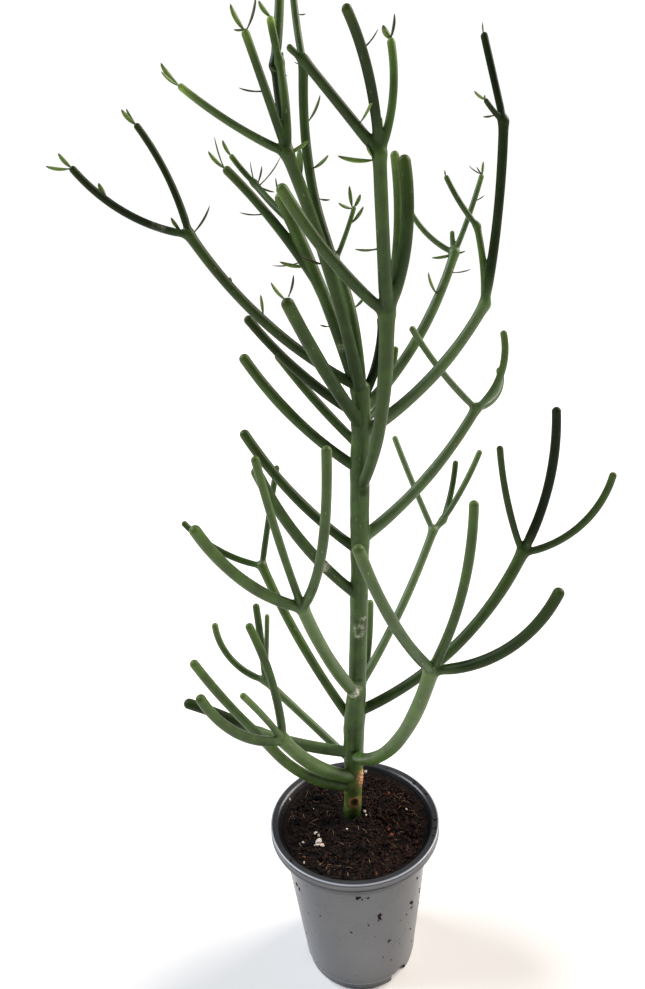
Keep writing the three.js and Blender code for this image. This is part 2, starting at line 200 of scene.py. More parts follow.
def waxedStemSkin(name, corky=False):
    material, add, drive = newMaterial(name, Roughness=0.42, IOR=1.45)
    finish = skinFinish
    marks = ("youth", "pale", "crust", "dark") + (("worn", "bark") if corky else ())
    mark = {key: add("Attribute", attribute_name=key, out="Fac") for key in marks}
    grain = add("Attribute", attribute_name="grain", out="Vector")
    place = add("TexCoord", out="Object")

    # the lines: noise squeezed round the shoot and stretched sixteen times along it
    lineScale = 1 / finish["lineWidth"]
    alongShoot = add("Mapping", {"Vector": grain, "Scale": (lineScale, lineScale, lineScale / 16)})
    lines = add("TexNoise", {"Vector": alongShoot, "Scale": 0.5, "Detail": 3, "Roughness": 0.6})
    broadLines = add("TexNoise", {"Vector": alongShoot, "Scale": 0.16})
    bloom = add("MapRange", {"Value": lines, "From Min": 0.52, "From Max": 0.74, "To Max": 0.32})
    broadBloom = add("MapRange", {"Value": broadLines, "From Min": 0.4, "From Max": 0.75, "To Max": 0.3})
    mottle = add("TexNoise", {"Vector": place, "Scale": 1000 / finish["mottle"], "Detail": 3,
                              "Roughness": 0.55})
    flecks = add("TexNoise", {"Vector": place, "Scale": 420, "Detail": 5, "Roughness": 0.7})

    # leaf scars: cells longer than they are wide, some of them with a small pale spot in the middle
    across, upward = 1 / (0.55 * finish["scarSpacing"]), 1 / (1.6 * finish["scarSpacing"])
    cells = add("Mapping", {"Vector": grain, "Scale": (across, across, upward)})
    fromMiddle = add("TexVoronoi", {"Vector": cells, "Scale": 1.0, "Randomness": 0.95})
    cellValue = fromMiddle.node.outputs["Color"]
    chosen = add("Math", {0: cellValue, 1: 0.68}, operation="GREATER_THAN")
    middles = add("MapRange", {"Value": fromMiddle, "From Min": 0.16, "From Max": 0.07, "To Max": 0.6})
    scars = add("Math", {0: middles, 1: chosen}, operation="MULTIPLY")
    height = add("Math", {0: lines, 1: scars}, operation="ADD")

    # layers of colour, each over the ones before it: how much it covers, and its colour
    # the pale layer is painted light on the shoots behind
    layers = [(mark["youth"], finish["youngGreen"]), (mark["pale"], finish["paintedLightGreen"]),
              (bloom, finish["bloom"]), (broadBloom, finish["bloom"]), (scars, finish["scar"])]
    if corky:
        olive = [(0.3, finish["olive"][0]), (0.7, finish["olive"][1])]
        torn = [(0.35, finish["torn"][0]), (0.6, finish["torn"][1])]
        cork = add("MapRange", {"Value": flecks, "From Min": 0.58, "From Max": 0.74, "To Max": 0.3})
        layers += [(mark["worn"], add("ValToRGB", {"Fac": mottle}, olive)), (cork, finish["cork"]),
                   (mark["bark"], add("ValToRGB", {"Fac": flecks}, torn))]
        height = add("Math", {0: height, 1: flecks}, operation="ADD")
    crumbly = add("MapRange", {"Value": flecks, "From Min": 0.4, "From Max": 0.6})
    crust = add("Math", {0: mark["crust"], 1: crumbly}, operation="MULTIPLY")
    # the last, dark layer is painted shade, partly the shoot's own darker green, and the same share lowers
    # the specular below
    layers += [(crust, finish["crust"]), (mark["dark"], finish["shade"])]
    greens = [(0.3, finish["deepGreen"]), (0.72, finish["midGreen"])]
    colour = add("ValToRGB", {"Fac": mottle}, greens)
    for share, over in layers:
        colour = add("Mix", {0: share, 6: colour, 7: over}, data_type="RGBA", out=2)

    drive(Base_Color=colour,
          Roughness=add("MapRange", {"Value": broadLines, "To Min": 0.34, "To Max": 0.52}),
          Specular_IOR_Level=add("MapRange", {"Value": mark["dark"], "To Min": 0.34, "To Max": 0.1}),
          Normal=add("Bump", {"Height": height, "Strength": 0.35, "Distance": 0.0002}))
    return material


# Young succulent leaf, grown: thin and soft, so light passes a little; its tip dries first.
leafFinish = {"base": "#3f5a28", "blade": "#6c8640", "tip": "#25230f", "dry": "#2c2818", "vein": 0.9}


def softLeafBlade():
    material, add, drive = newMaterial("softLeafBlade", Roughness=0.45, IOR=1.42, Subsurface_Weight=0.12,
                                       Subsurface_Radius=(0.6, 1.0, 0.3), Subsurface_Scale=0.001)
    along = add("Attribute", attribute_name="along", out="Fac")
    dryness = add("Attribute", attribute_name="dryness", out="Fac")
    place = add("TexCoord", out="Object")
    fibres = add("TexNoise", {"Vector": place, "Scale": 1000 / leafFinish["vein"], "Detail": 2})
    stops = [(0.0, leafFinish["base"]), (0.45, leafFinish["blade"]), (0.82, leafFinish["blade"]),
             (1.0, leafFinish["tip"])]
    greens = add("ValToRGB", {"Fac": along}, stops)
    lightness = add("MapRange", {"Value": fibres, "To Min": 0.72, "To Max": 1.25})
    toned = add("HueSaturation", {"Color": greens, "Value": lightness})
    drive(Base_Color=add("Mix", {0: dryness, 6: toned, 7: leafFinish["dry"]}, data_type="RGBA", out=2),
          Normal=add("Bump", {"Height": fibres, "Strength": 0.2, "Distance": 0.0001}))
    return material


# Injection moulded polypropylene of a nursery pot: grey, made near black inside and darker on the
# lip's top and under its hem by painted shade, with a soft sheen, faint flow marks down the wall, a
# painted highlight along the lip's outer edge, a pale line round the foot's edge, and scuffs and dust that
# dull it in patches.
potFinish = {"outside": ("#525457", "#616265"), "paintedShade": "#0f1216", "paintedHighlight": "#b4b9c4",
             "dust": "#7a7468", "scuff": 1.2, "flow": 9}


def mouldedPolypropylene():
    material, add, drive = newMaterial("mouldedPolypropylene", Roughness=0.36, IOR=1.49)
    paintedShade = add("Attribute", attribute_name="paintedShade", out="Fac")
    edge = add("Attribute", attribute_name="edge", out="Fac")
    place = add("TexCoord", out="Object")
    patches = add("TexNoise", {"Vector": place, "Scale": 28, "Detail": 4})
    squeeze = 1000 / potFinish["flow"]
    stretched = add("Mapping", {"Vector": place, "Scale": (squeeze, squeeze, 12)})
    flow = add("TexNoise", {"Vector": stretched, "Scale": 1.0, "Detail": 2})
    scuffs = add("TexNoise", {"Vector": place, "Scale": 1000 / potFinish["scuff"], "Detail": 3,
                              "Roughness": 0.7})
    stops = [(0.3, potFinish["outside"][0]), (0.7, potFinish["outside"][1])]
    outside = add("ValToRGB", {"Fac": patches}, stops)
    # painted highlight along the lip's outer edge, and a pale line round the foot's edge
    paintedHighlight = add("Mix", {0: edge, 6: outside, 7: potFinish["paintedHighlight"]}, data_type="RGBA", out=2)
    # painted shade: near black inside, on the lip's top and under its hem
    withPaintedShade = add("Mix", {0: paintedShade, 6: paintedHighlight, 7: potFinish["paintedShade"]}, data_type="RGBA", out=2)
    dustMask = add("MapRange", {"Value": scuffs, "From Min": 0.56, "From Max": 0.8, "To Max": 0.3})
    drive(Base_Color=add("Mix", {0: dustMask, 6: withPaintedShade, 7: potFinish["dust"]},
                         data_type="RGBA", out=2),
          Roughness=add("MapRange", {"Value": patches, "From Min": 0.3, "From Max": 0.7,
                                     "To Min": 0.24, "To Max": 0.38}),
          Normal=add("Bump", {"Height": flow, "Strength": 0.25, "Distance": 0.0004}))
    return material


# Moist peat and bark potting mix, loose: nearly black crumbs with red-brown fibres between them.
soilFinish = {"dark": "#040202", "mid": "#1c100b", "fibre": "#4f2d1c", "crumb": 1.6, "thread": 0.7}


def moistPeatMix():
    material, add, drive = newMaterial("moistPeatMix", Roughness=0.85, IOR=1.4, Specular_IOR_Level=0.25)
    place = add("TexCoord", out="Object")
    fromCrumb = add("TexVoronoi", {"Vector": place, "Scale": 1000 / soilFinish["crumb"], "Randomness": 1.0})
    fine = add("TexNoise", {"Vector": place, "Scale": 1000 / soilFinish["thread"], "Detail": 5,
                            "Roughness": 0.7})
    patches = add("TexNoise", {"Vector": place, "Scale": 60, "Detail": 3})
    tint = add("Math", {0: fromCrumb.node.outputs["Color"], 1: fine}, operation="MULTIPLY")
    stops = [(0.08, soilFinish["dark"]), (0.38, soilFinish["mid"]), (0.75, soilFinish["fibre"])]
    browns = add("ValToRGB", {"Fac": tint}, stops)
    lightness = add("MapRange", {"Value": patches, "From Min": 0.3, "From Max": 0.7,
                                 "To Min": 0.5, "To Max": 1.3})
    relief = add("Math", {0: fine, 1: fromCrumb}, operation="SUBTRACT")
    drive(Base_Color=add("HueSaturation", {"Color": browns, "Value": lightness}),
          Normal=add("Bump", {"Height": relief, "Strength": 0.9, "Distance": 0.0008}))
    return material


# Loose bits in the mix, each kind one colour range that its own tint attribute picks from.
def looseBits(name, dark, light, roughness, grainSize):
    material, add, drive = newMaterial(name, Roughness=roughness, IOR=1.45, Specular_IOR_Level=0.2)
    tint = add("Attribute", attribute_name="tint", out="Fac")
    place = add("TexCoord", out="Object")
    speckle = add("TexNoise", {"Vector": place, "Scale": 1000 / grainSize, "Detail": 3})
    picked = add("ValToRGB", {"Fac": tint}, [(0.0, dark), (1.0, light)])
    lightness = add("MapRange", {"Value": speckle, "From Min": 0.3, "From Max": 0.7,
                                 "To Min": 0.7, "To Max": 1.15})
    drive(Base_Color=add("HueSaturation", {"Color": picked, "Value": lightness}),
          Normal=add("Bump", {"Height": speckle, "Strength": 0.6, "Distance": 0.0003}))
    return material


stemSkin = waxedStemSkin("waxedStemSkin")
corkySkin = waxedStemSkin("corkyOldStemSkin", corky=True)
leafBlade = softLeafBlade()
polypropylene = mouldedPolypropylene()
peatMix = moistPeatMix()
peatCrumbs = looseBits("loosePeatCrumbs", "#060303", "#4a2c20", 0.8, 0.8)
perlite = looseBits("expandedPerlite", "#c9b8a8", "#fffaf0", 0.7, 0.6)
strawFibre = looseBits("driedCoirFibre", "#4a2415", "#cdb489", 0.6, 1.5)
barkChip = looseBits("compostedBarkChip", "#2c150b", "#8a5030", 0.75, 1.2)
print("materials made")


# The camera: where it stands in metres, how far it looks down and is rolled in degrees, and its
# focal length in mm on a 36 mm sensor.
cameraSetting = {"place": (-0.0132, -0.5859, 0.7047), "down": 19.24, "roll": 3.29, "focal": 27.0455}


def placeCamera():
    down, roll = math.radians(cameraSetting["down"]), math.radians(cameraSetting["roll"])
    right = np.array([1, 0, 0])
    up = np.array([0, math.sin(down), math.cos(down)])
    back = np.array([0, -math.cos(down), math.sin(down)])
    turnedRight = math.cos(roll) * right - math.sin(roll) * up
    turnedUp = math.sin(roll) * right + math.cos(roll) * up
    camera = addObject("viewCamera", bpy.data.cameras.new("viewCamera"))
    matrix = np.eye(4)
    matrix[:3, :3] = np.stack([turnedRight, turnedUp, back], 1)
    matrix[:3, 3] = cameraSetting["place"]
    camera.matrix_world = Matrix(matrix.tolist())
    camera.data.sensor_width = 36
    camera.data.lens = cameraSetting["focal"]
    camera.data.clip_start = 0.01
    bpy.context.scene.camera = camera


placeCamera()
print("camera placed")


# One pencil is one year's shoot. heading is the compass direction at its root and how far that
# drifts by its tip, slope the angle above level and how much it steepens, thick the diameter at
# its root and tip, all in degrees and millimetres. shade darkens it and all that grows from it,
# partly its own darker green and partly painted shade where it stands in shadow; below 0 it
# makes it paler, which is painted light. young is how much lighter its growing tip is.
def pencil(length, heading, slope, thick, forks=(), shade=None, young=0.3):
    return {"length": length, "heading": heading, "slope": slope, "thick": thick, "forks": forks,
            "along": 1, "shade": shade, "young": young}


# a fork that starts part of the way up its pencil
def partWay(along, shoot):
    return {**shoot, "along": along}


growth = {
    "steps": 36,  # straight steps in a pencil's centre line
    "stemRoot": (-8, 19, 75),
    "stemBuried": 74,  # of the stem's length, under the mix
    "stem": pencil(517, (0, 0), (85, 3), (18.5, 14.5)),
    "crownSpread": 5,  # from the stem's line to the roots of the crown's shoots
    "crownDrop": 4,  # and how far below its top they are
    "fillet": 0.95,  # how softly shoots run into each other at a fork
    "pinch": 0.1,  # share by which a shoot narrows just past its root
    "pinchAt": 2.2,  # radii past the root where it is narrowest
    "flare": 0.06,  # share by which it swells at a fork
    "flareOver": 1.6,  # radii over which that swelling fades
    "waver": 0.02,  # and share by which it wavers in between
    "voxel": 0.85,  # size of the even quads that join a branch into one skin
    "shadeBlend": 28,  # mm past a fork over which the shade changes
    "branchGrain": 211,  # mm by which the skin's pattern is shifted from branch to branch
    "forkGrain": 37,  # and from fork to fork, so that it never repeats
    "youth": (0.05, 0.12),  # how young the skin is at a shoot's root, and how much more at its tip
    "oldTip": 0.3,  # share of a tip's fresh green that is left low on the plant
    "oldBelow": 620,  # height below which tips are at their oldest
    "youngOver": 150,  # and mm above it at which they are at their youngest
    "collarDepth": 0.35,  # mm from the main stem's skin in to a collar's foot
}

# The side branches: how far up the stem each starts, or on which side of its top, and its shoots.
branches = {
    "lowest_left_branch": {"at": 0.08, "shoot": pencil(125, (210, -10), (25, 40), (10, 10), [
        pencil(115, (195, 5), (55, 10), (8, 8))])},
    "low_front_left_branch": {"at": 0.105, "shoot": pencil(130, (225, 0), (35, 25), (13, 12), [
        pencil(120, (230, -15), (25, 45), (9, 8), shade=0.28),
        pencil(120, (190, -5), (90, -20), (7.5, 7), shade=0.2),
        pencil(90, (240, -5), (60, -5), (6, 5.5), shade=0)], shade=-0.08)},
    "low_back_left_branch": {"at": 0.14, "shoot": pencil(120, (150, 0), (35, 0), (8, 8), [
        pencil(85, (170, -10), (15, 75), (7, 6.5), shade=0),
        pencil(85, (120, -5), (90, -10), (7, 7), shade=0.4),
        pencil(70, (65, 0), (75, 5), (5, 5))], shade=-0.2)},
    "low_front_right_branch": {"at": 0.16, "shoot": pencil(255, (285, 10), (30, 40), (11, 11), [
        pencil(160, (235, 0), (45, 20), (8, 7), shade=0.25),
        pencil(135, (330, 5), (65, 25), (7, 6.5), shade=0.25),
        pencil(115, (335, 20), (10, 60), (8, 7.5), shade=0.65)])},
    "low_left_branch": {"at": 0.17, "shoot": pencil(95, (180, 0), (10, 15), (11, 11), [
        pencil(80, (170, 5), (30, -10), (10, 10), shade=0.72)], shade=-0.2)},
    "middle_back_left_branch": {"at": 0.24, "shoot": pencil(180, (150, -5), (50, 15), (9, 9), [
        pencil(90, (170, -5), (10, 40), (6.5, 6), shade=0.5),
        pencil(100, (70, -5), (60, 0), (6, 6), shade=0.35)])},
    "low_right_branch": {"at": 0.275, "shoot": pencil(225, (5, 5), (20, 45), (10, 11), [
        pencil(105, (165, 0), (70, 15), (6.5, 6), shade=0.5),
        pencil(140, (-5, 0), (65, 30), (9, 8), shade=0.88),
        pencil(115, (340, 10), (15, 65), (7, 6.5))], shade=0.35)},
    "back_branch": {"at": 0.275, "shoot": pencil(110, (60, 15), (45, 35), (7, 7), shade=-0.15)},
    "middle_front_left_branch": {"at": 0.32, "shoot": pencil(160, (240, 0), (50, 15), (12, 10.5), [
        pencil(130, (220, -10), (30, 35), (9.5, 8.5), shade=0.12),
        pencil(150, (245, -5), (65, 10), (6.5, 6), shade=0.15),
        pencil(170, (295, -10), (45, 40), (8, 7), shade=0.2)], shade=-0.1)},
    "low_back_right_branch": {"at": 0.33, "shoot": pencil(175, (45, 0), (35, 20), (8, 8.5), [
        pencil(105, (125, 0), (55, 5), (6, 6)),
        pencil(16, (35, 0), (25, 10), (7, 7), [
            pencil(80, (20, 0), (50, 15), (6, 6)),
            pencil(65, (55, 10), (40, 30), (6, 6), shade=0.45)], shade=-0.15)], shade=-0.25)},
    "lower_left_branch": {"at": 0.555, "shoot": pencil(160, (195, 0), (45, 25), (10, 9.5), shade=0.25)},
    "middle_left_branch": {"at": 0.655, "shoot": pencil(150, (165, 0), (35, 25), (9, 9), shade=0.45)},
    "middle_right_branch": {"at": 0.68, "shoot": pencil(155, (15, 5), (30, 25), (11, 8.5), [
        pencil(95, (185, 5), (45, 15), (6, 5.5)),
        pencil(75, (340, 0), (40, 65), (6.5, 6), shade=0),
        pencil(85, (40, 45), (0, 30), (6.5, 7), shade=0.2)], shade=-0.2)},
    "front_leader": {"at": 0.79, "shoot": pencil(170, (290, -10), (45, 40), (9.5, 11.5), [
        pencil(115, (200, 0), (40, 20), (8, 8)),
        pencil(105, (260, 0), (70, 10), (10, 8.5), [
            pencil(70, (190, -5), (50, 0), (7, 6), [
                pencil(12, (190, 0), (35, 10), (4.5, 4))], shade=0.55),
            pencil(85, (250, -20), (80, -35), (6.5, 6), shade=0.75),
            pencil(65, (350, 0), (65, 35), (5.5, 5), shade=0.1)]),
        pencil(105, (345, -5), (65, 35), (9, 8.5), shade=0.55)], shade=0.3)},
    "upper_left_branch": {"at": 0.825, "shoot": pencil(140, (175, 0), (35, 25), (9, 9), shade=0.25)},
    "high_back_left_branch": {"at": 0.87, "shoot": pencil(110, (150, 0), (40, 10), (8, 8), shade=0.3)},
    "upper_right_branch": {"at": 0.895, "shoot": pencil(145, (355, 5), (30, 30), (11, 8.5), [
        pencil(130, (350, 0), (80, 10), (7.5, 7), [
            pencil(60, (175, 0), (75, 0), (5.5, 5), shade=0.9),
            pencil(22, (200, 0), (35, 15), (4, 3.5))], shade=0.78),
        pencil(60, (115, 5), (90, -20), (5.5, 5), [
            pencil(45, (170, -5), (50, 15), (4.5, 4), shade=0.4)], shade=0)], shade=-0.15)},
    "upper_front_left_branch": {"at": 0.915, "shoot": pencil(145, (235, 0), (45, 10), (11, 9.5), shade=0.5)},
    "upper_right_stub": {"at": 0.915, "shoot": pencil(90, (50, 15), (10, 60), (5.5, 6))},
    "high_left_branch": {"at": 0.93, "shoot": pencil(130, (160, -5), (30, 20), (8.5, 8), shade=0.7)},
    "upper_back_right_branch": {"at": 0.94, "shoot": pencil(170, (35, 10), (30, 30), (10, 8), [
        pencil(55, (155, -5), (25, 35), (5, 4.5)),
        pencil(70, (30, -5), (60, 10), (5, 4.5)),
        pencil(20, (105, -15), (55, 35), (4.5, 4))], shade=-0.1)},
    "crown_right_shoot": {"at": 0.96, "shoot": pencil(70, (40, 5), (45, 40), (8, 8), [
        pencil(135, (50, 10), (55, 50), (7.5, 7), shade=0.05)], shade=0.85)},
    "highest_left_branch": {"at": 0.985, "shoot": pencil(180, (185, 0), (30, 30), (8.5, 8), [
        pencil(85, (165, 5), (80, -25), (6, 5), shade=0.8),
        pencil(95, (195, -5), (10, 45), (6, 5.5), shade=0.85)], shade=0.5)},
    "crown_front_shoot": {"crownSide": 250, "shoot": pencil(185, (230, 0), (75, -15), (10, 8.5), [
        pencil(80, (185, 5), (25, 15), (6, 4.5), shade=0.1, young=0.9),
        pencil(75, (215, -5), (70, 0), (6, 5.5), young=0.7),
        pencil(55, (300, 0), (80, 25), (6, 5.5), [
            pencil(26, (220, 0), (75, 5), (5.5, 5), young=0.9)], shade=0.1),
        pencil(60, (105, 0), (60, 20), (5.5, 5), [
            pencil(60, (55, 0), (70, 15), (7, 6), shade=0.1)], shade=0.75)], shade=0.4)},
    "crown_left_shoot": {"crownSide": 170, "shoot": pencil(160, (165, 0), (75, -10), (10, 9.5), [
        partWay(0.5, pencil(120, (165, 0), (60, -15), (8, 7), shade=0.5)),
        partWay(0.85, pencil(55, (130, 0), (30, 10), (6, 5.5), [
            pencil(30, (160, 0), (45, 10), (5, 4.5), shade=0.1)]))], shade=0.2)},
    "crown_back_shoot": {"crownSide": 80, "shoot": pencil(105, (105, 15), (85, -35), (8, 8), [
        pencil(50, (40, 0), (55, 10), (4, 4)),
        pencil(155, (130, -5), (60, 40), (8.5, 7.5), [
            pencil(70, (110, -5), (65, 20), (6, 5.5), shade=0.1)], shade=0.45)])},
}


# the level direction square to each angle
def levelAcross(turn):
    return np.stack([-np.sin(turn), np.cos(turn), 0 * turn], -1)


# the direction for a heading and slope in degrees: level part cos(slope), rise sin(slope)
def wayAt(heading, slope):
    return roundAxis(np.cos(np.radians(slope)), np.radians(heading), np.sin(np.radians(slope)))


# A limb is a shoot's centre line as equal straight steps, each laid in the direction at its own
# middle, with the level direction across it and its radius at every point. end is the share of
# the shoot's length where the line stops.
def makeLimb(shoot, root, end=1, steps=growth["steps"], shade=0, grainStart=0, free=False):
    middle = (np.arange(steps) + 0.5) / steps * end
    heading = shoot["heading"][0] + middle * shoot["heading"][1]
    slope = shoot["slope"][0] + middle * shoot["slope"][1]
    ways = wayAt(heading, slope)
    points = np.array(root) + np.vstack([np.zeros(3), np.cumsum(ways, 0) * shoot["length"] * end / steps])
    sides = levelAcross(np.radians(heading))
    share = np.linspace(0, end, steps + 1)
    radius = (shoot["thick"][0] * (1 - share) + shoot["thick"][1] * share) / 2
    return {"points": points, "ways": ways, "sides": sides, "radius": radius,
            "length": shoot["length"] * end, "shade": shade, "grainStart": grainStart, "free": free}


def pointAlong(limb, share):
    place = share * (len(limb["points"]) - 1)
    step = min(int(place), len(limb["points"]) - 2)
    return limb["points"][step] + (place - step) * (limb["points"][step + 1] - limb["points"][step])


# Every limb of a shoot and of all that grows from it, each knowing its parent's shade. A free
# tip's line stops one radius short. Past its root a shoot narrows by a bell curve and then wavers
# by a slow sine, and it swells a little by another bell curve where it forks.
def growLimbs(shoot, root, rng, shade=0, grainStart=0, depth=0):
    shadeBefore = shade
    shade = shade if shoot["shade"] is None else shoot["shade"]
    forked = any(fork["along"] == 1 for fork in shoot["forks"])
    end = 1 if forked else 1 - shoot["thick"][1] / 2 / shoot["length"]
    limb = makeLimb(shoot, root, end, shade=shade, grainStart=grainStart, free=not forked)
    travelled = np.linspace(0, limb["length"], len(limb["radius"]))
    first = limb["radius"][0]
    narrow = growth["pinch"] * np.exp(-((travelled - growth["pinchAt"] * first) / first) ** 2) * (depth > 0)
    fromFork = (travelled - limb["length"]) / (growth["flareOver"] * limb["radius"][-1])
    flare = growth["flare"] * np.exp(-fromFork ** 2) * forked
    waver = growth["waver"] * np.sin(travelled / rng.uniform(9, 14) + rng.uniform(0, 6.28))
    limb["radius"] = limb["radius"] * (1 - narrow + flare + waver)
    limb["young"] = shoot["young"]
    limb["shadeBefore"] = shadeBefore if depth else shade
    limbs = [limb]
    full = makeLimb(shoot, root)
    for fork in shoot["forks"]:
        start = grainStart + limb["length"] + growth["forkGrain"] * len(limbs)
        limbs += growLimbs(fork, pointAlong(full, fork["along"]), rng, shade, start, depth + 1)
    return limbs


# a closed tube round a limb: rings across its path, and three smaller rings over each end
def tubeRound(limb, columns=10):
    ways = np.vstack([limb["ways"][:1], (limb["ways"][1:] + limb["ways"][:-1]) / 2, limb["ways"][-1:]])
    sides = np.vstack([limb["sides"], limb["sides"][-1:]])
    capSlopes = np.radians([85, 60, 30])
    lift, shrink = np.sin(capSlopes), np.cos(capSlopes)
    first, last = limb["radius"][0], limb["radius"][-1]
    centres = np.vstack([limb["points"][0] - np.outer(lift * first, ways[0]), limb["points"],
                         limb["points"][-1] + np.outer(lift[::-1] * last, ways[-1])])
    radius = np.concatenate([shrink * first, limb["radius"], shrink[::-1] * last])
    ways = np.vstack([np.repeat(ways[:1], 3, 0), ways, np.repeat(ways[-1:], 3, 0)])
    sides = np.vstack([np.repeat(sides[:1], 3, 0), sides, np.repeat(sides[-1:], 3, 0)])
    faces = np.cross(sides, ways)
    turn = evenTurns(columns)[None, :, None]
    outward = np.cos(turn) * sides[:, None] + np.sin(turn) * faces[:, None]
    rings = centres[:, None] + radius[:, None, None] * outward
    return rings.reshape(-1, 3), len(centres), columns


# distance from each point to a limb's skin, and the way out from its axis: the nearest of its
# straight steps counts, with the radius there
def distanceTo(limb, points):
    starts, spans = limb["points"][:-1], np.diff(limb["points"], axis=0)
    away = points[:, None] - starts
    along = np.clip((away * spans).sum(2) / (spans ** 2).sum(1), 0, 1)
    offset = away - along[..., None] * spans
    reach = np.linalg.norm(offset, axis=2)
    radius = limb["radius"][:-1] + along * np.diff(limb["radius"])
    step = np.argmin(reach - radius, 1)
    row = np.arange(len(points))
    offset, reach, radius, along = offset[row, step], reach[row, step], radius[row, step], along[row, step]
    return reach - radius, offset / np.maximum(reach, 1e-6)[:, None], step, along, offset


# Moves each point onto the skin that all limbs share. The shared distance is the soft minimum
# -k ln(sum of exp(-distance / k)), and each step goes back by it along the blended way out.
def settleOnSkin(points, limbs, rounds=3):
    soft = growth["fillet"]
    for _ in range(rounds):
        distance = np.full((len(limbs), len(points)), 50.0)
        outward = np.zeros((len(limbs), len(points), 3))
        for index, limb in enumerate(limbs):
            near = nearLimb(limb, points)
            distance[index, near], outward[index, near] = distanceTo(limb, points[near])[:2]
        lowest = distance.min(0)
        weight = np.exp(-(distance - lowest) / soft)
        shared = lowest - soft * np.log(weight.sum(0))
        slope = (weight[..., None] * outward).sum(0) / weight.sum(0)[:, None]
        steepness = np.maximum((slope ** 2).sum(1), 0.2)
        points = points - (shared / steepness)[:, None] * slope
    return points


def nearLimb(limb, points, margin=14):
    low, high = limb["points"].min(0) - margin, limb["points"].max(0) + margin
    return np.all((points > low) & (points < high), 1)


# an object's mesh with its modifiers worked in
def bakedMesh(piece):
    return bpy.data.meshes.new_from_object(piece.evaluated_get(bpy.context.evaluated_depsgraph_get()))


# the points of a mesh, in millimetres
def pointsOf(mesh):
    found = np.empty(len(mesh.vertices) * 3, np.float32)
    mesh.vertices.foreach_get("co", found)
    return found.reshape(-1, 3).astype(float) / mm


# joins tubes into one closed skin of even quads
def joinTubes(tubes):
    points, faces, start = [], [], 0
    for rings, rows, columns in tubes:
        points.append(rings)
        faces += tubeFaces(rows, columns, start)
        start += len(rings)
    mesh = solidMesh("joining", np.vstack(points), faces)
    piece = addObject("joining", mesh)
    remesh = piece.modifiers.new("oneSkin", "REMESH")
    remesh.mode = "VOXEL"
    remesh.voxel_size = growth["voxel"] * mm
    joined = bakedMesh(piece)
    bpy.data.objects.remove(piece)
    bpy.data.meshes.remove(mesh)
    return joined, pointsOf(joined)


# Where each point lies on its nearest limb, in millimetres: across it two ways and along it, with
# the limb's shade, which changes smoothly past its fork by 3t^2 - 2t^3, and how young the skin is
# there. Low shoots have older tips.
def skinPlaces(points, limbs):
    best = np.full(len(points), 1e3)
    grain = np.zeros((len(points), 3))
    dark, pale, youth = np.zeros((3, len(points)))
    for limb in limbs:
        near = np.flatnonzero(nearLimb(limb, points))
        distance, _, step, along, offset = distanceTo(limb, points[near])
        closer = distance < best[near]
        near, step, along, offset = near[closer], step[closer], along[closer], offset[closer]
        best[near] = distance[closer]
        side = limb["sides"][step]
        face = np.cross(side, limb["ways"][step])
        travelled = (step + along) / len(limb["ways"])
        grain[near, 0] = (offset * side).sum(1)
        grain[near, 1] = (offset * face).sum(1)
        grain[near, 2] = travelled * limb["length"] + limb["grainStart"]
        # shade above 0 is painted shade, partly the shoot's own darker green, and below 0 it is painted light
        blend = np.clip(travelled * limb["length"] / growth["shadeBlend"], 0, 1)
        before = limb.get("shadeBefore", limb["shade"])
        shade = before + (limb["shade"] - before) * blend * blend * (3 - 2 * blend)
        dark[near] = np.maximum(shade, 0)
        fresh = limb["young"] if limb["free"] else 0
        youngHeight = (points[near, 2] - growth["oldBelow"]) / growth["youngOver"]
        freshTip = fresh * travelled ** 10 * np.clip(youngHeight, growth["oldTip"], 1)
        pale[near] = np.maximum(-shade, 0)
        youth[near] = growth["youth"][0] + growth["youth"][1] * travelled + freshTip
    return {"grain": grain, "dark": dark, "pale": pale, "youth": youth}


stemSteps = 120
stemLimb = makeLimb(growth["stem"], growth["stemRoot"], steps=stemSteps,
                    end=1 - growth["stem"]["thick"][1] / 2 / growth["stem"]["length"])


def branchRoot(branch):
    full = makeLimb(growth["stem"], growth["stemRoot"])
    if "crownSide" in branch:
        top = pointAlong(full, 1 - growth["crownDrop"] / growth["stem"]["length"])
        return top + growth["crownSpread"] * wayAt(branch["crownSide"], 0)
    buried = growth["stemBuried"] / growth["stem"]["length"]
    return pointAlong(full, buried + branch["at"] * (1 - buried))


# the short piece of main stem that a branch's collar flows into, just under the stem's own skin
def collarLimb(root, radius):
    reach = 2.5 * radius + 6
    low, *_, high = np.flatnonzero(np.abs(stemLimb["points"][:, 2] - root[2]) < reach)
    return {**stemLimb, "points": stemLimb["points"][low:high + 1], "ways": stemLimb["ways"][low:high],
            "sides": stemLimb["sides"][low:high],
            "radius": stemLimb["radius"][low:high + 1] - growth["collarDepth"], "free": False,
            "length": stemLimb["length"] * (high - low) / stemSteps, "grainStart": 900 + 4.3 * low}


def camelName(node):
    first, *others = node.split("_")
    return first + "".join(word.capitalize() for word in others)


# pale scabs: which limb of the branch, how far along it, and how wide in mm
branchScars = {"lower_left_branch": (0, 0.3, 5.5), "middle_front_left_branch": (0, 0.06, 8),
               "highest_left_branch": (2, 0.24, 5), "crown_left_shoot": (0, 0.2, 4)}

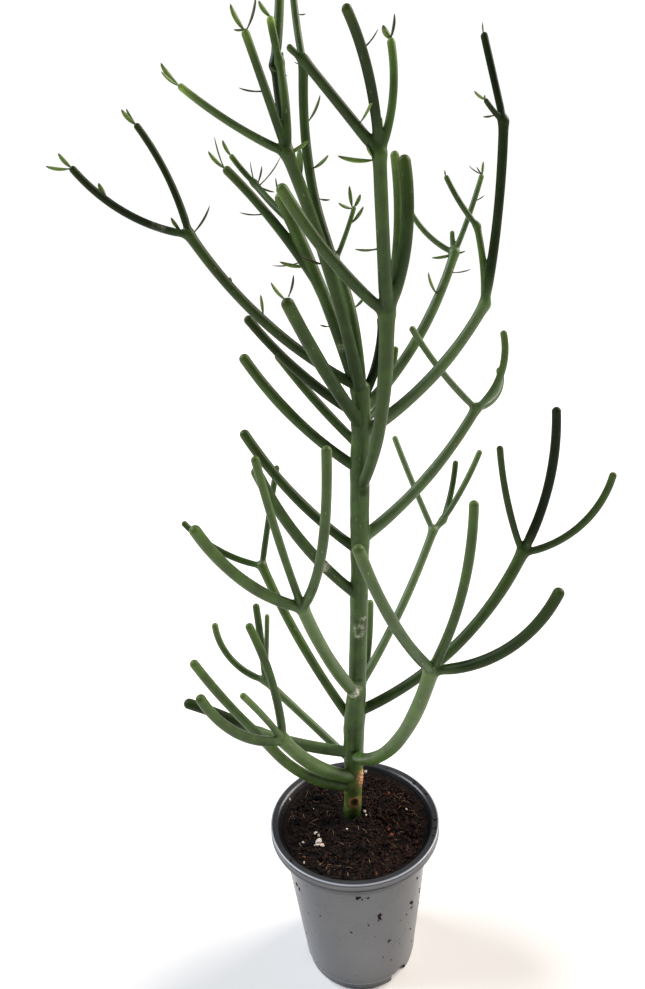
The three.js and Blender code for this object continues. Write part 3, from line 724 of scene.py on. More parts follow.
limbsOf = {}
for number, (node, branch) in enumerate(branches.items()):
    root = branchRoot(branch)
    limbs = growLimbs(branch["shoot"], root, np.random.default_rng(100 + number),
                      grainStart=growth["branchGrain"] * number)
    limbsOf[node] = limbs
    skinLimbs = limbs + [collarLimb(root, limbs[0]["radius"][0])]
    skin, points = joinTubes([tubeRound(limb) for limb in skinLimbs])
    points = settleOnSkin(points, skinLimbs)
    marks = skinPlaces(points, skinLimbs)
    skin.vertices.foreach_set("co", (points * mm).astype(np.float32).ravel())
    if node in branchScars:
        limb, share, reach = branchScars[node]
        middle = pointAlong(limbs[limb], share) + np.array([0, -2, 2])
        near = np.exp(-(np.linalg.norm(points - middle, axis=1) / reach) ** 4)
        marks["crust"] = np.clip(near * 1.3, 0, 1)
    finishPiece(addObject(camelName(node), skin), stemSkin, "green_stem", [node], marks)
print("branches grown")


# The cutting's main stem: green with a waxy skin, olive and corky towards its foot, swollen where
# branches leave it. Scars are (height, heading, half height, half width), all in mm and degrees.
stemDetail = {
    "columns": 56,
    "rows": 560,
    "swelling": 0.8,  # how far it swells under a branch 10 mm thick
    "wobble": 0.18,
    "bulges": [(252, 34, 190, 3.0), (490, 45, 190, 1.5)],  # height, half height, heading, how far out
    "ringScar": (171, 277, 6, 5.2),
    "tornBark": (198, 322, 10, 6),
    "scabs": [(300, 262, 7, 5), (375, 296, 2, 3.5)],
    "ringScabs": [(363, 266, 6, 4.5), (440, 270, 4, 3)],
    "darkScars": [(496, 285, 3.5, 4), (232, 258, 2, 3), (311, 282, 2, 2.5)],
    "rough": (235, 155),  # heights from which and by which the skin is at its roughest
    "worn": (222, 182),  # the same for the olive skin near the foot
    "clean": (154, 166),  # the skin that is clear of the mix
    "buried": (164, 150),  # and the skin that darkens from just above the pot's rim down to the mix
}


# how strongly a scar marks each point: a bell curve over its height and its width round the stem
def scarMark(scar, height, turn, radius):
    around = (turn - math.radians(scar[1]) + np.pi) % (2 * np.pi) - np.pi
    return np.exp(-(((height - scar[0]) / scar[2]) ** 2 + (around * radius / scar[3]) ** 2) ** 2)


# The stem is a ring of points carried up its line. The ring's radius tapers, swells by a bell
# curve under each branch on that branch's side, wobbles with soft noise, and closes in a dome.
def makeStem():
    detail = stemDetail
    rows, columns = detail["rows"], detail["columns"]
    length = growth["stem"]["length"]
    turn = evenTurns(columns)[None]
    travelled = np.linspace(0, length, rows)[:, None]
    full = makeLimb(growth["stem"], growth["stemRoot"], steps=240)
    centres = np.stack([np.interp(travelled[:, 0], np.linspace(0, length, 241), full["points"][:, axis])
                        for axis in range(3)], 1)
    rootThick, topThick = growth["stem"]["thick"]
    radius = (rootThick + (topThick - rootThick) * travelled / length) / 2 + 0 * turn
    height = centres[:, 2:3] + 0 * turn
    for branch in branches.values():
        foot = branchRoot(branch)
        heading = math.radians(branch["shoot"]["heading"][0])
        facing = 0.5 + 0.5 * np.cos(turn - heading)
        wide = branch["shoot"]["thick"][0]
        bell = np.exp(-((height - foot[2] + 2) / (0.8 * wide)) ** 2)
        radius = radius + detail["swelling"] * wide / 10 * bell * facing ** 2
    for middle, half, heading, extra in detail["bulges"]:
        facing = 0.5 + 0.5 * np.cos(turn - math.radians(heading))
        radius = radius + extra * np.exp(-((height - middle) / half) ** 4) * facing ** 2
    east, north = np.cos(turn), np.sin(turn)
    radius = radius + detail["wobble"] * softNoise(east * 9 + travelled * 0.3, north * 9 + travelled, 9, 7)
    fine = softNoise(east * 9 + travelled * 0.9, north * 9 + travelled * 1.1, 2.2, 8)
    radius = radius + fine * (0.05 + 0.2 * ramp(height, *detail["rough"]))
    ring = scarMark(detail["ringScar"], height, turn, radius)
    torn = scarMark(detail["tornBark"], height, turn, radius)
    rings = sum(scarMark(scar, height, turn, radius) for scar in detail["ringScabs"])
    crust = sum(scarMark(scar, height, turn, radius) for scar in detail["scabs"])
    crust = np.clip(0.8 * crust + 4 * rings * (1 - rings) * (0.75 + 0.6 * fine), 0, 1)
    darkScar = sum(scarMark(scar, height, turn, radius) for scar in detail["darkScars"])
    radius = radius + 0.9 * ring * (1 - 1.6 * ring ** 3) + 0.35 * crust * (1 + fine) + 0.7 * torn * (1 + fine)
    dome = topThick / 2
    fromTop = ramp(travelled, length - dome, length)
    radius = radius * np.sqrt(1 - (0.995 * fromTop) ** 2)
    points = np.stack([centres[:, :1] + radius * east, centres[:, 1:2] + radius * north, height], -1)
    worn = np.minimum(ramp(height, *detail["worn"]), 0.85) * ramp(height, *detail["clean"])
    # darker from just above the pot's rim down to the mix
    buried = 0.7 * ramp(height, *detail["buried"])
    marks = {"worn": worn * (0.7 + 0.3 * np.sin(turn * 2 + 1)),
             "bark": np.clip(torn + 2.2 * ring * (1 - ring) + 0.3 * ring, 0, 1), "crust": crust,
             "dark": np.clip(0.3 * ring + 0.6 * ring ** 4 + 0.6 * darkScar + buried, 0, 0.9),
             "pale": 0 * height, "youth": 0.08 + 0 * height}
    marks = {key: values.ravel() for key, values in marks.items()}
    marks["grain"] = np.stack([radius * east, radius * north, travelled + 0 * turn], -1).reshape(-1, 3)
    makePiece("mainStem", points.reshape(-1, 3), tubeFaces(rows, columns), corkySkin, "old_stem",
              ["main_stem"], marks)


makeStem()
print("main stem made")


# The nursery pot: a thin tapered wall on a narrower foot, and a rolled lip with a hanging edge.
pot = {
    "height": 163, "lipRadius": 82.5, "lipReach": 9, "lipTop": 7.5, "skirt": 9, "flareDrop": 10,
    "footRadius": 56, "footHeight": 9, "footInset": 1.4, "wall": 2.2, "floor": 2.6, "around": 216,
    "notches": 3, "firstNotch": 101, "notchWidth": 20, "notchHeight": 12, "notchReach": 11,
    "notchesBelow": 60,
}


def wallRadiusAt(height):
    share = (height - pot["footHeight"]) / (pot["height"] - pot["footHeight"])
    return pot["footRadius"] + share * (pot["lipRadius"] - pot["lipReach"] - pot["footRadius"])


# the pot's section, from the middle of its base up the outside, over the lip and down the inside
def potSection():
    top, lip, wall, foot = pot["height"], pot["lipRadius"], pot["wall"], pot["footRadius"] - pot["footInset"]
    mouth, hem, flare = lip - pot["lipTop"], top - pot["skirt"], top - pot["flareDrop"]
    corners = [
        (0, 1.2), (foot - 9, 1.2), (foot - 7.5, 0), (foot, 0), (foot, pot["footHeight"] - 2.4),
        (pot["footRadius"] + 0.3, pot["footHeight"] - 0.4), (wallRadiusAt(14), 14), (wallRadiusAt(80), 80),
        (wallRadiusAt(flare - 3), flare - 3), (wallRadiusAt(flare), flare), (mouth + wall, top - wall),
        (lip - wall, top - wall), (lip - wall, hem), (lip + 0.1, hem), (lip + 0.1, hem + 1.2),
        (lip - 0.8, hem + 1.9), (lip - 0.5, top - 3.6), (lip, top - 2.8), (lip, top - 0.9),
        (lip - 1.3, top), (lip - 2.6, top - 0.5), (mouth + 1.6, top - 0.8), (mouth, top - 2),
        (wallRadiusAt(flare) - wall, flare), (wallRadiusAt(90) - wall, 90),
        (wallRadiusAt(pot["footHeight"]) - wall, pot["footHeight"]), (foot - wall, pot["floor"]),
        (0, pot["floor"]),
    ]
    return roundedOutline(corners, 1.0)


# The section turned about the pot's axis, with rings at least every 6 mm and a slight waver
# that moulded walls have: two and five soft waves round it.
def turnSection(profile):
    turn = evenTurns(pot["around"])
    rings = [profile[:1]]
    for first, last in zip(profile[:-1], profile[1:]):
        parts = max(1, int(np.hypot(*(last - first)) / 6))
        rings.append(first + np.arange(1, parts + 1)[:, None] / parts * (last - first))
    profile = np.vstack(rings)
    waver = 1 + 0.0022 * np.sin(2 * turn + 0.6) + 0.0012 * np.sin(5 * turn)
    points = roundAxis(profile[:, :1] * waver, turn, profile[:, 1:])
    return points.reshape(-1, 3), tubeFaces(len(profile), pot["around"])


# a closed solid for joining and cutting, its faces turned outwards
def looseSolid(name, points, faces):
    mesh = solidMesh(name, points, faces)
    work = bmesh.new()
    work.from_mesh(mesh)
    bmesh.ops.recalc_face_normals(work, faces=work.faces)
    work.to_mesh(mesh)
    work.free()
    return addObject(name, mesh)


# drain notches as arches with upright sides that reach in from outside, fatter all over by spare
def notchArches(name, spare=0):
    half = pot["notchWidth"] / 2 + spare
    arc = np.linspace(0, np.pi, 17)
    rise = pot["notchHeight"] - pot["notchWidth"] / 2
    arch = np.stack([half * np.cos(arc), rise + half * np.sin(arc)], 1)
    outline = np.vstack([[(half, -3)], arch, [(-half, -3)]])
    near, far = pot["footRadius"] - pot["notchReach"] - spare, pot["lipRadius"]
    count = len(outline)
    points, faces = [], []
    for notch in range(pot["notches"]):
        turn = math.radians(pot["firstNotch"] + notch / pot["notches"] * 360)
        outward = np.array([-math.sin(turn), math.cos(turn), 0])
        sideways = np.array([math.cos(turn), math.sin(turn), 0])
        for reach in (near, far):
            points.append(reach * outward + outline[:, :1] * sideways + outline[:, 1:] * np.array([0, 0, 1]))
        faces += tubeFaces(2, count, notch * 2 * count)
    return looseSolid(name, np.vstack(points), faces)


# joins or cuts the first solid with the second, and removes the second
def combine(solid, other, operation):
    change = solid.modifiers.new(operation, "BOOLEAN")
    change.operation = operation
    change.object = other
    change.solver = "EXACT"
    result = bakedMesh(solid)
    solid.modifiers.clear()
    solid.data = result
    bpy.data.objects.remove(other)


# The shell, with a walled pocket behind each notch that keeps the mix in. Each point says how much
# painted shade it takes (near black inside, darker on the lip's top and in a line under its hem) and
# how much painted highlight along the lip's outer edge; the foot's edge gets a pale line too.
# shares of painted shade on the lip's top and under the lip, of painted highlight on the lip's edge, and of
# the pale line on the foot's edge
potShades = {"lipTop": 0.75, "paintedShadowUnderLip": 0.85, "paintedLipHighlight": 0.9, "footEdge": 0.35}


def makePot():
    shades = potShades
    section = potSection()[1:-1]
    shell = looseSolid("potShell", *turnSection(section))
    filled = looseSolid("filledPot", *turnSection(section[:np.argmax(section[:, 1] > pot["notchesBelow"])]))
    pockets = notchArches("pockets", pot["wall"])
    combine(pockets, filled, "INTERSECT")
    combine(shell, pockets, "UNION")
    combine(shell, notchArches("notches"), "DIFFERENCE")
    x, y, z = pointsOf(shell.data).T
    out = np.hypot(x, y)
    past = out - wallRadiusAt(z)
    # painted shade: the lip's top, which faces up, is darkened, and the inside and the inner lip are made
    # near black
    lipTop = np.clip((z - (pot["height"] - 2.9)) / 0.6, 0, 1)
    aboveFoot, nearTop = z > 12, z > 140
    paintedShade = np.maximum(np.clip(-past - 0.6, 0, 1) * aboveFoot, shades["lipTop"] * lipTop)
    paintedShade = np.where(nearTop & (out < pot["lipRadius"] - pot["lipTop"] + 1), 1, paintedShade)
    hem = pot["height"] - pot["skirt"]
    # painted shadow: a dark line just under the lip's hanging edge
    paintedShadowUnderLip = (z > hem - 0.5) & (z < hem + 0.6) & (past > 0.3)
    paintedShade = np.where(paintedShadowUnderLip, shades["paintedShadowUnderLip"], paintedShade)
    # painted highlight: a pale line along the lip's rounded outer edge, where the painted shade is lifted;
    # the foot's edge gets a pale line too
    fromEdge = np.hypot(out - pot["lipRadius"] + 0.7, z - pot["height"] + 0.5)
    paintedLipHighlight = np.exp(-(fromEdge / 0.75) ** 2)
    footEdge = (out > pot["footRadius"] - 0.4) & (abs(z - pot["footHeight"] + 0.4) < 0.8)
    edge = shades["paintedLipHighlight"] * paintedLipHighlight + shades["footEdge"] * footEdge
    paintedShade = paintedShade * (1 - np.clip(1.5 * paintedLipHighlight, 0, 1))
    finishPiece(shell, polypropylene, "pot_plastic", ["pot"], {"paintedShade": paintedShade, "edge": edge})
    shell.data.set_sharp_from_angle(angle=math.radians(50))  # keeps the lip's and notches' edges crisp


makePot()
print("pot made")


# The potting mix: a closed body moulded to the pot, its top heaped a little round the stem.
soil = {"level": 149, "bank": 5.5, "backBank": 3.5, "gap": 0.3, "rings": 90, "around": 240, "lumps": 1.3,
        "crumbRelief": 0.9, "bankTop": 155.0, "clearOfStem": 10.5}


def innerRadiusAt(height):
    flare = pot["height"] - pot["flareDrop"]
    straight = wallRadiusAt(np.minimum(height, flare)) - pot["wall"]
    mouth = pot["lipRadius"] - pot["lipTop"]
    share = np.clip((height - flare) / (pot["flareDrop"] - 2), 0, 1)
    return straight + share * (mouth - straight) - soil["gap"]


# height of the mix at a point: it dips round the stem and is banked up to the wall, most of all at
# the back right, and soft noise at three sizes gives lumps and crumbs
def soilHeight(x, y):
    out = np.hypot(x, y) / innerRadiusAt(soil["bankTop"])
    behind = np.clip(0.5 + 0.6 * (y + 0.45 * x) / 70, 0, 1)
    bank = (soil["bank"] + soil["backBank"] * behind) * np.clip((out - 0.35) / 0.65, 0, 1.05) ** 1.6
    lumps = soil["lumps"] * softNoise(x, y, 13, 11) + 0.8 * softNoise(x, y, 6, 12)
    crumbs = soil["crumbRelief"] * softNoise(x, y, 2.4, 13)
    return soil["level"] + bank + (lumps + crumbs) * np.clip((1.06 - out) * 5, 0, 1) - 0.4


# rings of points from the middle out over the top, then down the wall and in under the base
def makeSoil():
    turn = evenTurns(soil["around"])
    edge = innerRadiusAt(soil["bankTop"])
    for _ in range(4):
        edge = innerRadiusAt(soilHeight(edge * np.cos(turn), edge * np.sin(turn)))
    share = np.linspace(0.3 / 70, 1, soil["rings"])[:, None]
    x, y = share * edge * np.cos(turn), share * edge * np.sin(turn)
    top = np.stack([x, y, soilHeight(x, y)], -1)
    low = pot["floor"] + soil["gap"]
    clear = pot["footRadius"] - pot["notchReach"] - pot["wall"] - 1
    down = [(innerRadiusAt(z), z) for z in (152.5, 144.0, 120.0, 80.0, 40.0, 18.0)]
    down += [(clear, 16), (clear, low), (clear * 0.5, low), (0.3, low)]
    out, height = np.array(down).T[..., None]
    points = np.concatenate([top, roundAxis(out, turn, height)]).reshape(-1, 3)
    faces = [face[::-1] for face in tubeFaces(soil["rings"] + len(down), soil["around"])]
    makePiece("pottingMix", points, faces, peatMix, "potting_mix", ["soil"])


makeSoil()
print("potting mix made")


# a lump of 20 faces: the 12 corners of an icosahedron, at (0, 1, golden ratio) turned round
goldenRatio = (1 + 5 ** 0.5) / 2
firstCorners = np.array([(x, y * goldenRatio, 0) for y in (1, -1) for x in (-1, 1)])
lumpCorners = np.vstack([np.roll(firstCorners, turn, 1) for turn in range(3)])
lumpCorners = lumpCorners / np.linalg.norm(lumpCorners[0])
lumpFaces = np.array([(0, 11, 5), (0, 5, 1), (0, 1, 7), (0, 7, 10), (0, 10, 11), (1, 5, 9), (5, 11, 4),
                      (11, 10, 2), (10, 7, 6), (7, 1, 8), (3, 9, 4), (3, 4, 2), (3, 2, 6), (3, 6, 8),
                      (3, 8, 9), (4, 9, 5), (2, 4, 11), (6, 2, 10), (8, 6, 7), (9, 8, 1)])


# many lumps as one piece: each is scaled on three axes, dented at its corners and spun about z
def scatterLumps(name, centres, sizes, material, rng, tints=None, flatness=(0.6, 1.1), faceWay=None):
    count = len(centres)
    scale = sizes[:, None] / 2 * rng.uniform(*flatness, (count, 3))
    dents = rng.uniform(0.72, 1.15, (count, 12, 1))
    local = lumpCorners[None] * dents * scale[:, None]
    spin = rng.uniform(0, 2 * np.pi, count)[:, None]
    x = local[..., 0] * np.cos(spin) - local[..., 1] * np.sin(spin)
    y = local[..., 0] * np.sin(spin) + local[..., 1] * np.cos(spin)
    points = np.stack([x, y, local[..., 2]], -1)
    if faceWay is not None:
        points = points - (points * faceWay[:, None]).sum(2, keepdims=True) * faceWay[:, None] * 0.5
    points = (points + centres[:, None]).reshape(-1, 3)
    faces = (lumpFaces[None] + 12 * np.arange(count)[:, None, None]).reshape(-1, 3).tolist()
    tints = rng.uniform(0, 1, count) if tints is None else tints
    makePiece(name, points, faces, material, "potting_mix", smooth=False,
              attributes={"tint": np.repeat(tints, 12)})


# even spread over the mix's top: the square root of a uniform value times the edge's radius
def spotsOnSoil(count, rng, reach=68):
    out, turn = reach * np.sqrt(rng.uniform(0, 1, count)), rng.uniform(0, 2 * np.pi, count)
    x, y = out * np.cos(turn), out * np.sin(turn)
    clear = np.hypot(x - growth["stemRoot"][0], y - growth["stemRoot"][1]) > soil["clearOfStem"]
    return x[clear], y[clear]


def onSoil(x, y, lift=0.0):
    return np.stack([x, y, soilHeight(x, y) + lift], 1)


# Bits in and on the mix, in mm from the pot's axis: perlite as (x, y, size), bark as (x, y, size)
# and crumbs stuck to the pot as (heading, height, size) on its wall and (heading, radius, size)
# on its lip.
bits = {
    "crumbs": 3600,
    "clods": 330,
    "perlite": [
        (-36, -19, 11), (-33, -23, 6.5), (-38, -22, 6), (-39, -7, 5), (-36, -9, 3.6), (-42, 27, 3),
        (-65, 34, 3.2), (-51, -20, 2.6), (-50, -45, 3.4), (11, 19, 4.4), (12, 15, 3), (-8, -3, 2.2),
        (16, 68, 4), (53, 15, 2.4), (57, 49, 2.6)],
    "bark": [
        (31, 7, 5), (35, -14, 6.5), (26, 22, 4), (42, -3, 5), (33, -6, 4), (-32, -55, 5), (47, 20, 4),
        (20, 32, 4), (-50, -38, 4.5), (38, 40, 5)],
    "fibres": 170,
    "wall": [
        (268, 135, 4.2), (276, 134, 2.2), (285, 107, 3.4), (285, 104, 3), (286, 101, 2.2),
        (319, 96, 4.4), (317, 98, 3), (320, 88, 2.4), (313, 86, 1.8), (210, 118, 4.2), (213, 114, 2.8),
        (225, 131, 1.6), (216, 111, 1.6), (235, 122, 1.3), (220, 89, 1.8), (232, 98, 1.2),
        (235, 99, 2), (295, 65, 2.8), (261, 87, 2), (276, 96, 1.8), (281, 78, 1), (289, 44, 1.4),
        (298, 34, 1.6), (324, 123, 2.2), (335, 92, 2.4), (334, 97, 1.8), (307, 51, 1.2),
        (323, 55, 1.6), (306, 85, 1.2), (341, 70, 2), (330, 30, 1.6), (206, 45, 2), (150, 120, 2),
        (95, 100, 2.4), (40, 90, 1.8), (20, 128, 2.2)],
    "lip": [
        (353, 79, 2.4), (345, 79.5, 2.2), (338, 78.4, 1.8), (332, 81, 1.6), (19, 79, 2.4),
        (33, 76.9, 3.2), (27, 78.5, 2.2), (162, 80.5, 1.8), (219, 79.5, 2), (218, 75.6, 1.8),
        (60, 78, 1.6)],
}


# stuck crumbs: a cluster of lumps round each place, flattened against the surface they sit on
def stuckCrumbs(name, places, material, rng, onLip=False, spread=0.5):
    centres, sizes, facing = [], [], []
    for heading, height, size in places:
        out = height if onLip else wallRadiusAt(height)
        way = wayAt(heading, 0)
        along = np.array([-way[1], way[0], 0])
        up = way if onLip else np.array([0, 0, 1])
        middle = out * way + np.array([0, 0, pot["height"] - 0.3 if onLip else height])
        lumps = 5 if size > 2 else 2
        for part in range(lumps):
            centre = (middle + rng.normal(0, spread * size * (part > 0)) * along
                      + rng.normal(0, spread * size * (part > 0)) * up)
            if onLip:
                centre[:2] *= min(1, (pot["lipRadius"] - 2.4) / math.hypot(*centre[:2]))
            centres.append(centre)
            sizes.append(size * (1.35 if part == 0 else rng.uniform(0.4, 0.9)))
            facing.append(np.array([0, 0, 1]) if onLip else way)
    scatterLumps(name, np.array(centres), np.array(sizes), material, rng,
                 rng.uniform(0, 0.35, len(sizes)), (0.6, 1), np.array(facing))


# fibres: thin four-sided threads, each bent in a circular arc that rises off the mix and returns
def makeFibres(name, count, rng, reach, material, thick=(0.09, 0.22)):
    x, y = spotsOnSoil(count, rng, reach)
    count = len(x)
    steps = 9
    length, heading = rng.gamma(3, 1.7, count) + 2.5, rng.uniform(0, 2 * np.pi, count)
    bend = rng.normal(0, 0.7, count)
    share = np.linspace(0, 1, steps)[None]
    turned = heading[:, None] + bend[:, None] * (share - 0.5)
    step = length[:, None] / (steps - 1)
    px = x[:, None] + np.cumsum(np.cos(turned) * step, 1) - np.cos(heading)[:, None] * length[:, None] / 2
    py = y[:, None] + np.cumsum(np.sin(turned) * step, 1) - np.sin(heading)[:, None] * length[:, None] / 2
    out = np.hypot(px, py)
    tight = np.minimum(1, reach / out)
    px, py = px * tight, py * tight
    pz = soilHeight(px, py) + 0.5 + rng.uniform(0.2, 1.6, count)[:, None] * np.sin(np.pi * share)
    radius = (rng.uniform(*thick, count)[:, None] * (0.4 + 0.6 * np.sin(np.pi * share)))[..., None]
    side = levelAcross(turned)
    centre = np.stack([px, py, pz], -1)
    up = np.array([0, 0, 1.0])
    rings = np.stack([centre + radius * way for way in (side, up, -side, -up)], 2)
    faces = []
    for index in range(count):
        faces += tubeFaces(steps, 4, index * steps * 4)
    tints = np.repeat(rng.beta(0.6, 1.7, count), steps * 4)
    makePiece(name, rings.reshape(-1, 3), faces, material, "potting_mix", attributes={"tint": tints})


rng = np.random.default_rng(21)
x, y = spotsOnSoil(bits["crumbs"], rng)
sizes = rng.gamma(2.4, 0.55, len(x)) + 0.7
# the crumbs are tinted lighter on the mix's right side and darker on its left; the darker left is painted
# shade
scatterLumps("looseCrumbs", onSoil(x, y, 0.25 * sizes), sizes, peatCrumbs, rng,
             np.clip(rng.beta(0.8, 3.6, len(x)) + 0.18 * (x > 12) - 0.12 * (x < -8), 0, 1))
x, y = spotsOnSoil(bits["clods"], rng, 66)
sizes = rng.gamma(3, 0.8, len(x)) + 2.4
scatterLumps("peatClods", onSoil(x, y, 0.12 * sizes), sizes, peatCrumbs, rng,
             0.25 * rng.uniform(0, 1, len(x)))
x, y, sizes = np.array(bits["perlite"]).T
scatterLumps("perliteGrains", onSoil(x, y, 0.3 * sizes + 0.5), sizes, perlite, rng, flatness=(0.5, 1.15))
x, y, sizes = np.array(bits["bark"]).T
scatterLumps("barkChips", onSoil(x, y, 0.15 * sizes + 0.5), sizes, barkChip, rng, flatness=(0.35, 1.1))
makeFibres("coirFibres", bits["fibres"], rng, 66, strawFibre)
stuckCrumbs("crumbsOnWall", bits["wall"], peatCrumbs, rng)
stuckCrumbs("crumbsOnLip", bits["lip"], peatCrumbs, rng, onLip=True)
print("loose bits made")


# Leaves: which branch, up which forks, how far along that shoot, then heading, slope, length and
# width. Those named here stand for the frame's own leaf pieces.
leaves = {
    "leaf_high_left_1": ("highest_left_branch", (1,), 1, (160, 45, 14, 3.2)),
    "leaf_high_left_2": ("highest_left_branch", (1,), 0.98, (195, 5, 16, 3)),
    "leaf_high_left_3": ("highest_left_branch", (1,), 0.65, (150, 60, 13, 4)),
    "leaf_high_left_4": ("highest_left_branch", (0,), 1, (170, 45, 15, 3.6)),
    "leaf_high_left_5": ("highest_left_branch", (), 0.99, (20, 50, 24, 3)),
    "leaf_front_left_1": ("upper_front_left_branch", (), 1, (190, 50, 16, 3)),
    "leaf_front_left_2": ("upper_front_left_branch", (), 0.98, (350, 70, 15, 3)),
    "leaf_crown_1": ("crown_front_shoot", (0,), 1, (170, 50, 18, 3.6)),
    "leaf_crown_2": ("crown_front_shoot", (0,), 0.97, (215, 30, 14, 3)),
    "leaf_crown_3": ("crown_front_shoot", (1,), 1, (180, 60, 17, 4)),
    "leaf_crown_4": ("crown_front_shoot", (1,), 0.97, (355, 65, 20, 4)),
    "leaf_crown_5": ("crown_front_shoot", (), 0.55, (200, 20, 18, 4)),
    "leaf_crown_6": ("crown_left_shoot", (), 0.62, (188, 10, 22, 3.6)),
    "leaf_crown_7": ("crown_left_shoot", (0,), 1, (175, 45, 18, 3.6)),
    "leaf_crown_8": ("crown_left_shoot", (1, 0), 1, (160, 60, 14, 3.2)),
    "leaf_crown_9": ("crown_back_shoot", (1,), 0.5, (340, 30, 17, 4)),
    "leaf_crown_10": ("crown_back_shoot", (0,), 1, (20, 55, 12, 3.4)),
    "leaf_crown_11": ("crown_back_shoot", (0,), 0.95, (195, 20, 13, 3.4)),
    "leaf_leader_1": ("front_leader", (1,), 0.97, (190, 5, 24, 3.6)),
    "leaf_leader_2": ("front_leader", (1, 0), 0.3, (320, 50, 20, 3.6)),
    "leaf_leader_3": ("front_leader", (1, 2), 1, (10, 75, 14, 3)),
    "leaf_right_1": ("upper_back_right_branch", (), 0.75, (195, 65, 20, 4)),
    "leaf_right_2": ("upper_back_right_branch", (1,), 1, (60, 70, 12, 3)),
    "leaf_right_3": ("upper_right_branch", (0, 1), 1, (190, 30, 11, 3)),
}
driedLeaves = {"leaf_high_left_5", "leaf_crown_5", "leaf_leader_3", "leaf_crown_4", "leaf_front_left_2"}
leafShape = {"steps": 14, "around": 10, "thick": 0.6, "trough": 0.22, "lift": 25, "roll": 58,
             "sunkInSkin": 0.8, "sunkInTip": 1.2, "sunkAside": 0.4, "curl": 20}
leafRings = (leafShape["steps"] + 1, leafShape["around"])


# Smaller leaves and dried ones, one piece for each branch: up which forks, how far along, then
# heading, slope, length and width, and how dry the leaf is.
smallLeaves = {
    "crown_front_shoot": [
        ((1,), 1, (180, 0, 8, 2.4), 0.6), ((1,), 0.53, (175, 10, 16, 2), 0.9),
        ((2,), 0.9, (170, 30, 6, 2.4), 0.8), ((2, 0), 1, (155, 50, 13, 3.6), 0),
        ((2,), 1, (40, 60, 8, 2.6), 0.2), ((3,), 0.94, (350, -30, 7, 1.8), 0.9),
        ((), 1, (10, 25, 19, 3), 0), ((), 1, (160, 40, 7, 4), 0), ((), 0.9, (270, 85, 18, 6), 0),
        ((0,), 1, (155, 50, 17, 3.4), 0.9)],
    "crown_back_shoot": [
        ((1,), 1, (175, 15, 9, 1.6), 0.9), ((1,), 0.74, (30, 55, 24, 3.4), 0.4),
        ((1, 0), 0.57, (0, -5, 6, 2), 0.7), ((1,), 0.35, (355, -10, 9, 2.6), 0.5),
        ((0,), 0.97, (105, 70, 18, 3.6), 0.2), ((0,), 0.72, (20, 45, 17, 3.2), 0.1),
        ((), 0.59, (15, 40, 12, 2.6), 0.2)],
    "front_leader": [
        ((1,), 0.98, (215, 50, 10, 5), 0.1), ((1, 2), 0.1, (75, 70, 16, 3.4), 0),
        ((1, 2), 1, (150, 55, 10, 4.6), 0.3), ((1, 2), 1, (155, 55, 8, 3.6), 0.1),
        ((1, 1), 0.7, (20, 45, 12, 1.5), 0.9), ((1,), 0.45, (180, 0, 15, 2), 0.4)],
    "crown_left_shoot": [
        ((0,), 1, (160, 45, 13, 3), 0.6), ((0,), 1, (130, 65, 26, 1.8), 0.4),
        ((1,), 1, (110, 70, 19, 1.6), 0.8), ((1,), 0.92, (20, 45, 28, 1.8), 0.7),
        ((1,), 0.96, (50, 65, 14, 2.2), 0.6), ((1,), 0.92, (350, -25, 13, 2.6), 0.5),
        ((), 1, (100, 70, 13, 2.4), 0.7), ((0,), 0.62, (180, 5, 18, 1.8), 0.9),
        ((), 0.78, (65, 70, 9, 2.6), 0.3), ((0,), 0.23, (180, -5, 21, 1.8), 0.8),
        ((), 0.32, (175, 10, 8, 2.4), 0.6)],
    "highest_left_branch": [
        ((1,), 0.07, (155, 50, 12, 3.4), 0.3), ((0,), 1, (150, 55, 14, 2.6), 0.4),
        ((), 0.55, (105, 70, 16, 4), 0), ((), 0.74, (130, 65, 5, 3), 0.3)],
    "upper_right_branch": [
        ((0, 0), 1, (110, 70, 8, 1.8), 0.7), ((0, 1), 1, (80, 70, 4, 2.4), 0.2),
        ((0, 1), 0.4, (180, -5, 8, 2.2), 0.6), ((1, 0), 1, (105, 70, 5, 1.8), 0.6)],
    "upper_back_right_branch": [
        ((1,), 1, (170, 30, 15, 2.2), 0.8), ((1,), 1, (155, 50, 9, 1.8), 0.8),
        ((1,), 0.69, (10, 25, 8, 1.6), 0.8), ((1,), 0.42, (25, 50, 7, 2), 0.7),
        ((), 1, (0, 5, 11, 2.2), 0.4), ((), 1, (185, -10, 22, 3), 0.1),
        ((), 1, (90, 70, 17, 3.6), 0.1), ((), 0.9, (0, 5, 16, 2), 0.6)],
}


# the limb of a shoot reached by going up the given forks, whole, with the shoot itself
def limbUp(node, up):
    shoot = branches[node]["shoot"]
    limb = makeLimb(shoot, branchRoot(branches[node]))
    for fork in up:
        shoot = shoot["forks"][fork]
        limb = makeLimb(shoot, pointAlong(limb, shoot["along"]))
    return shoot, limb


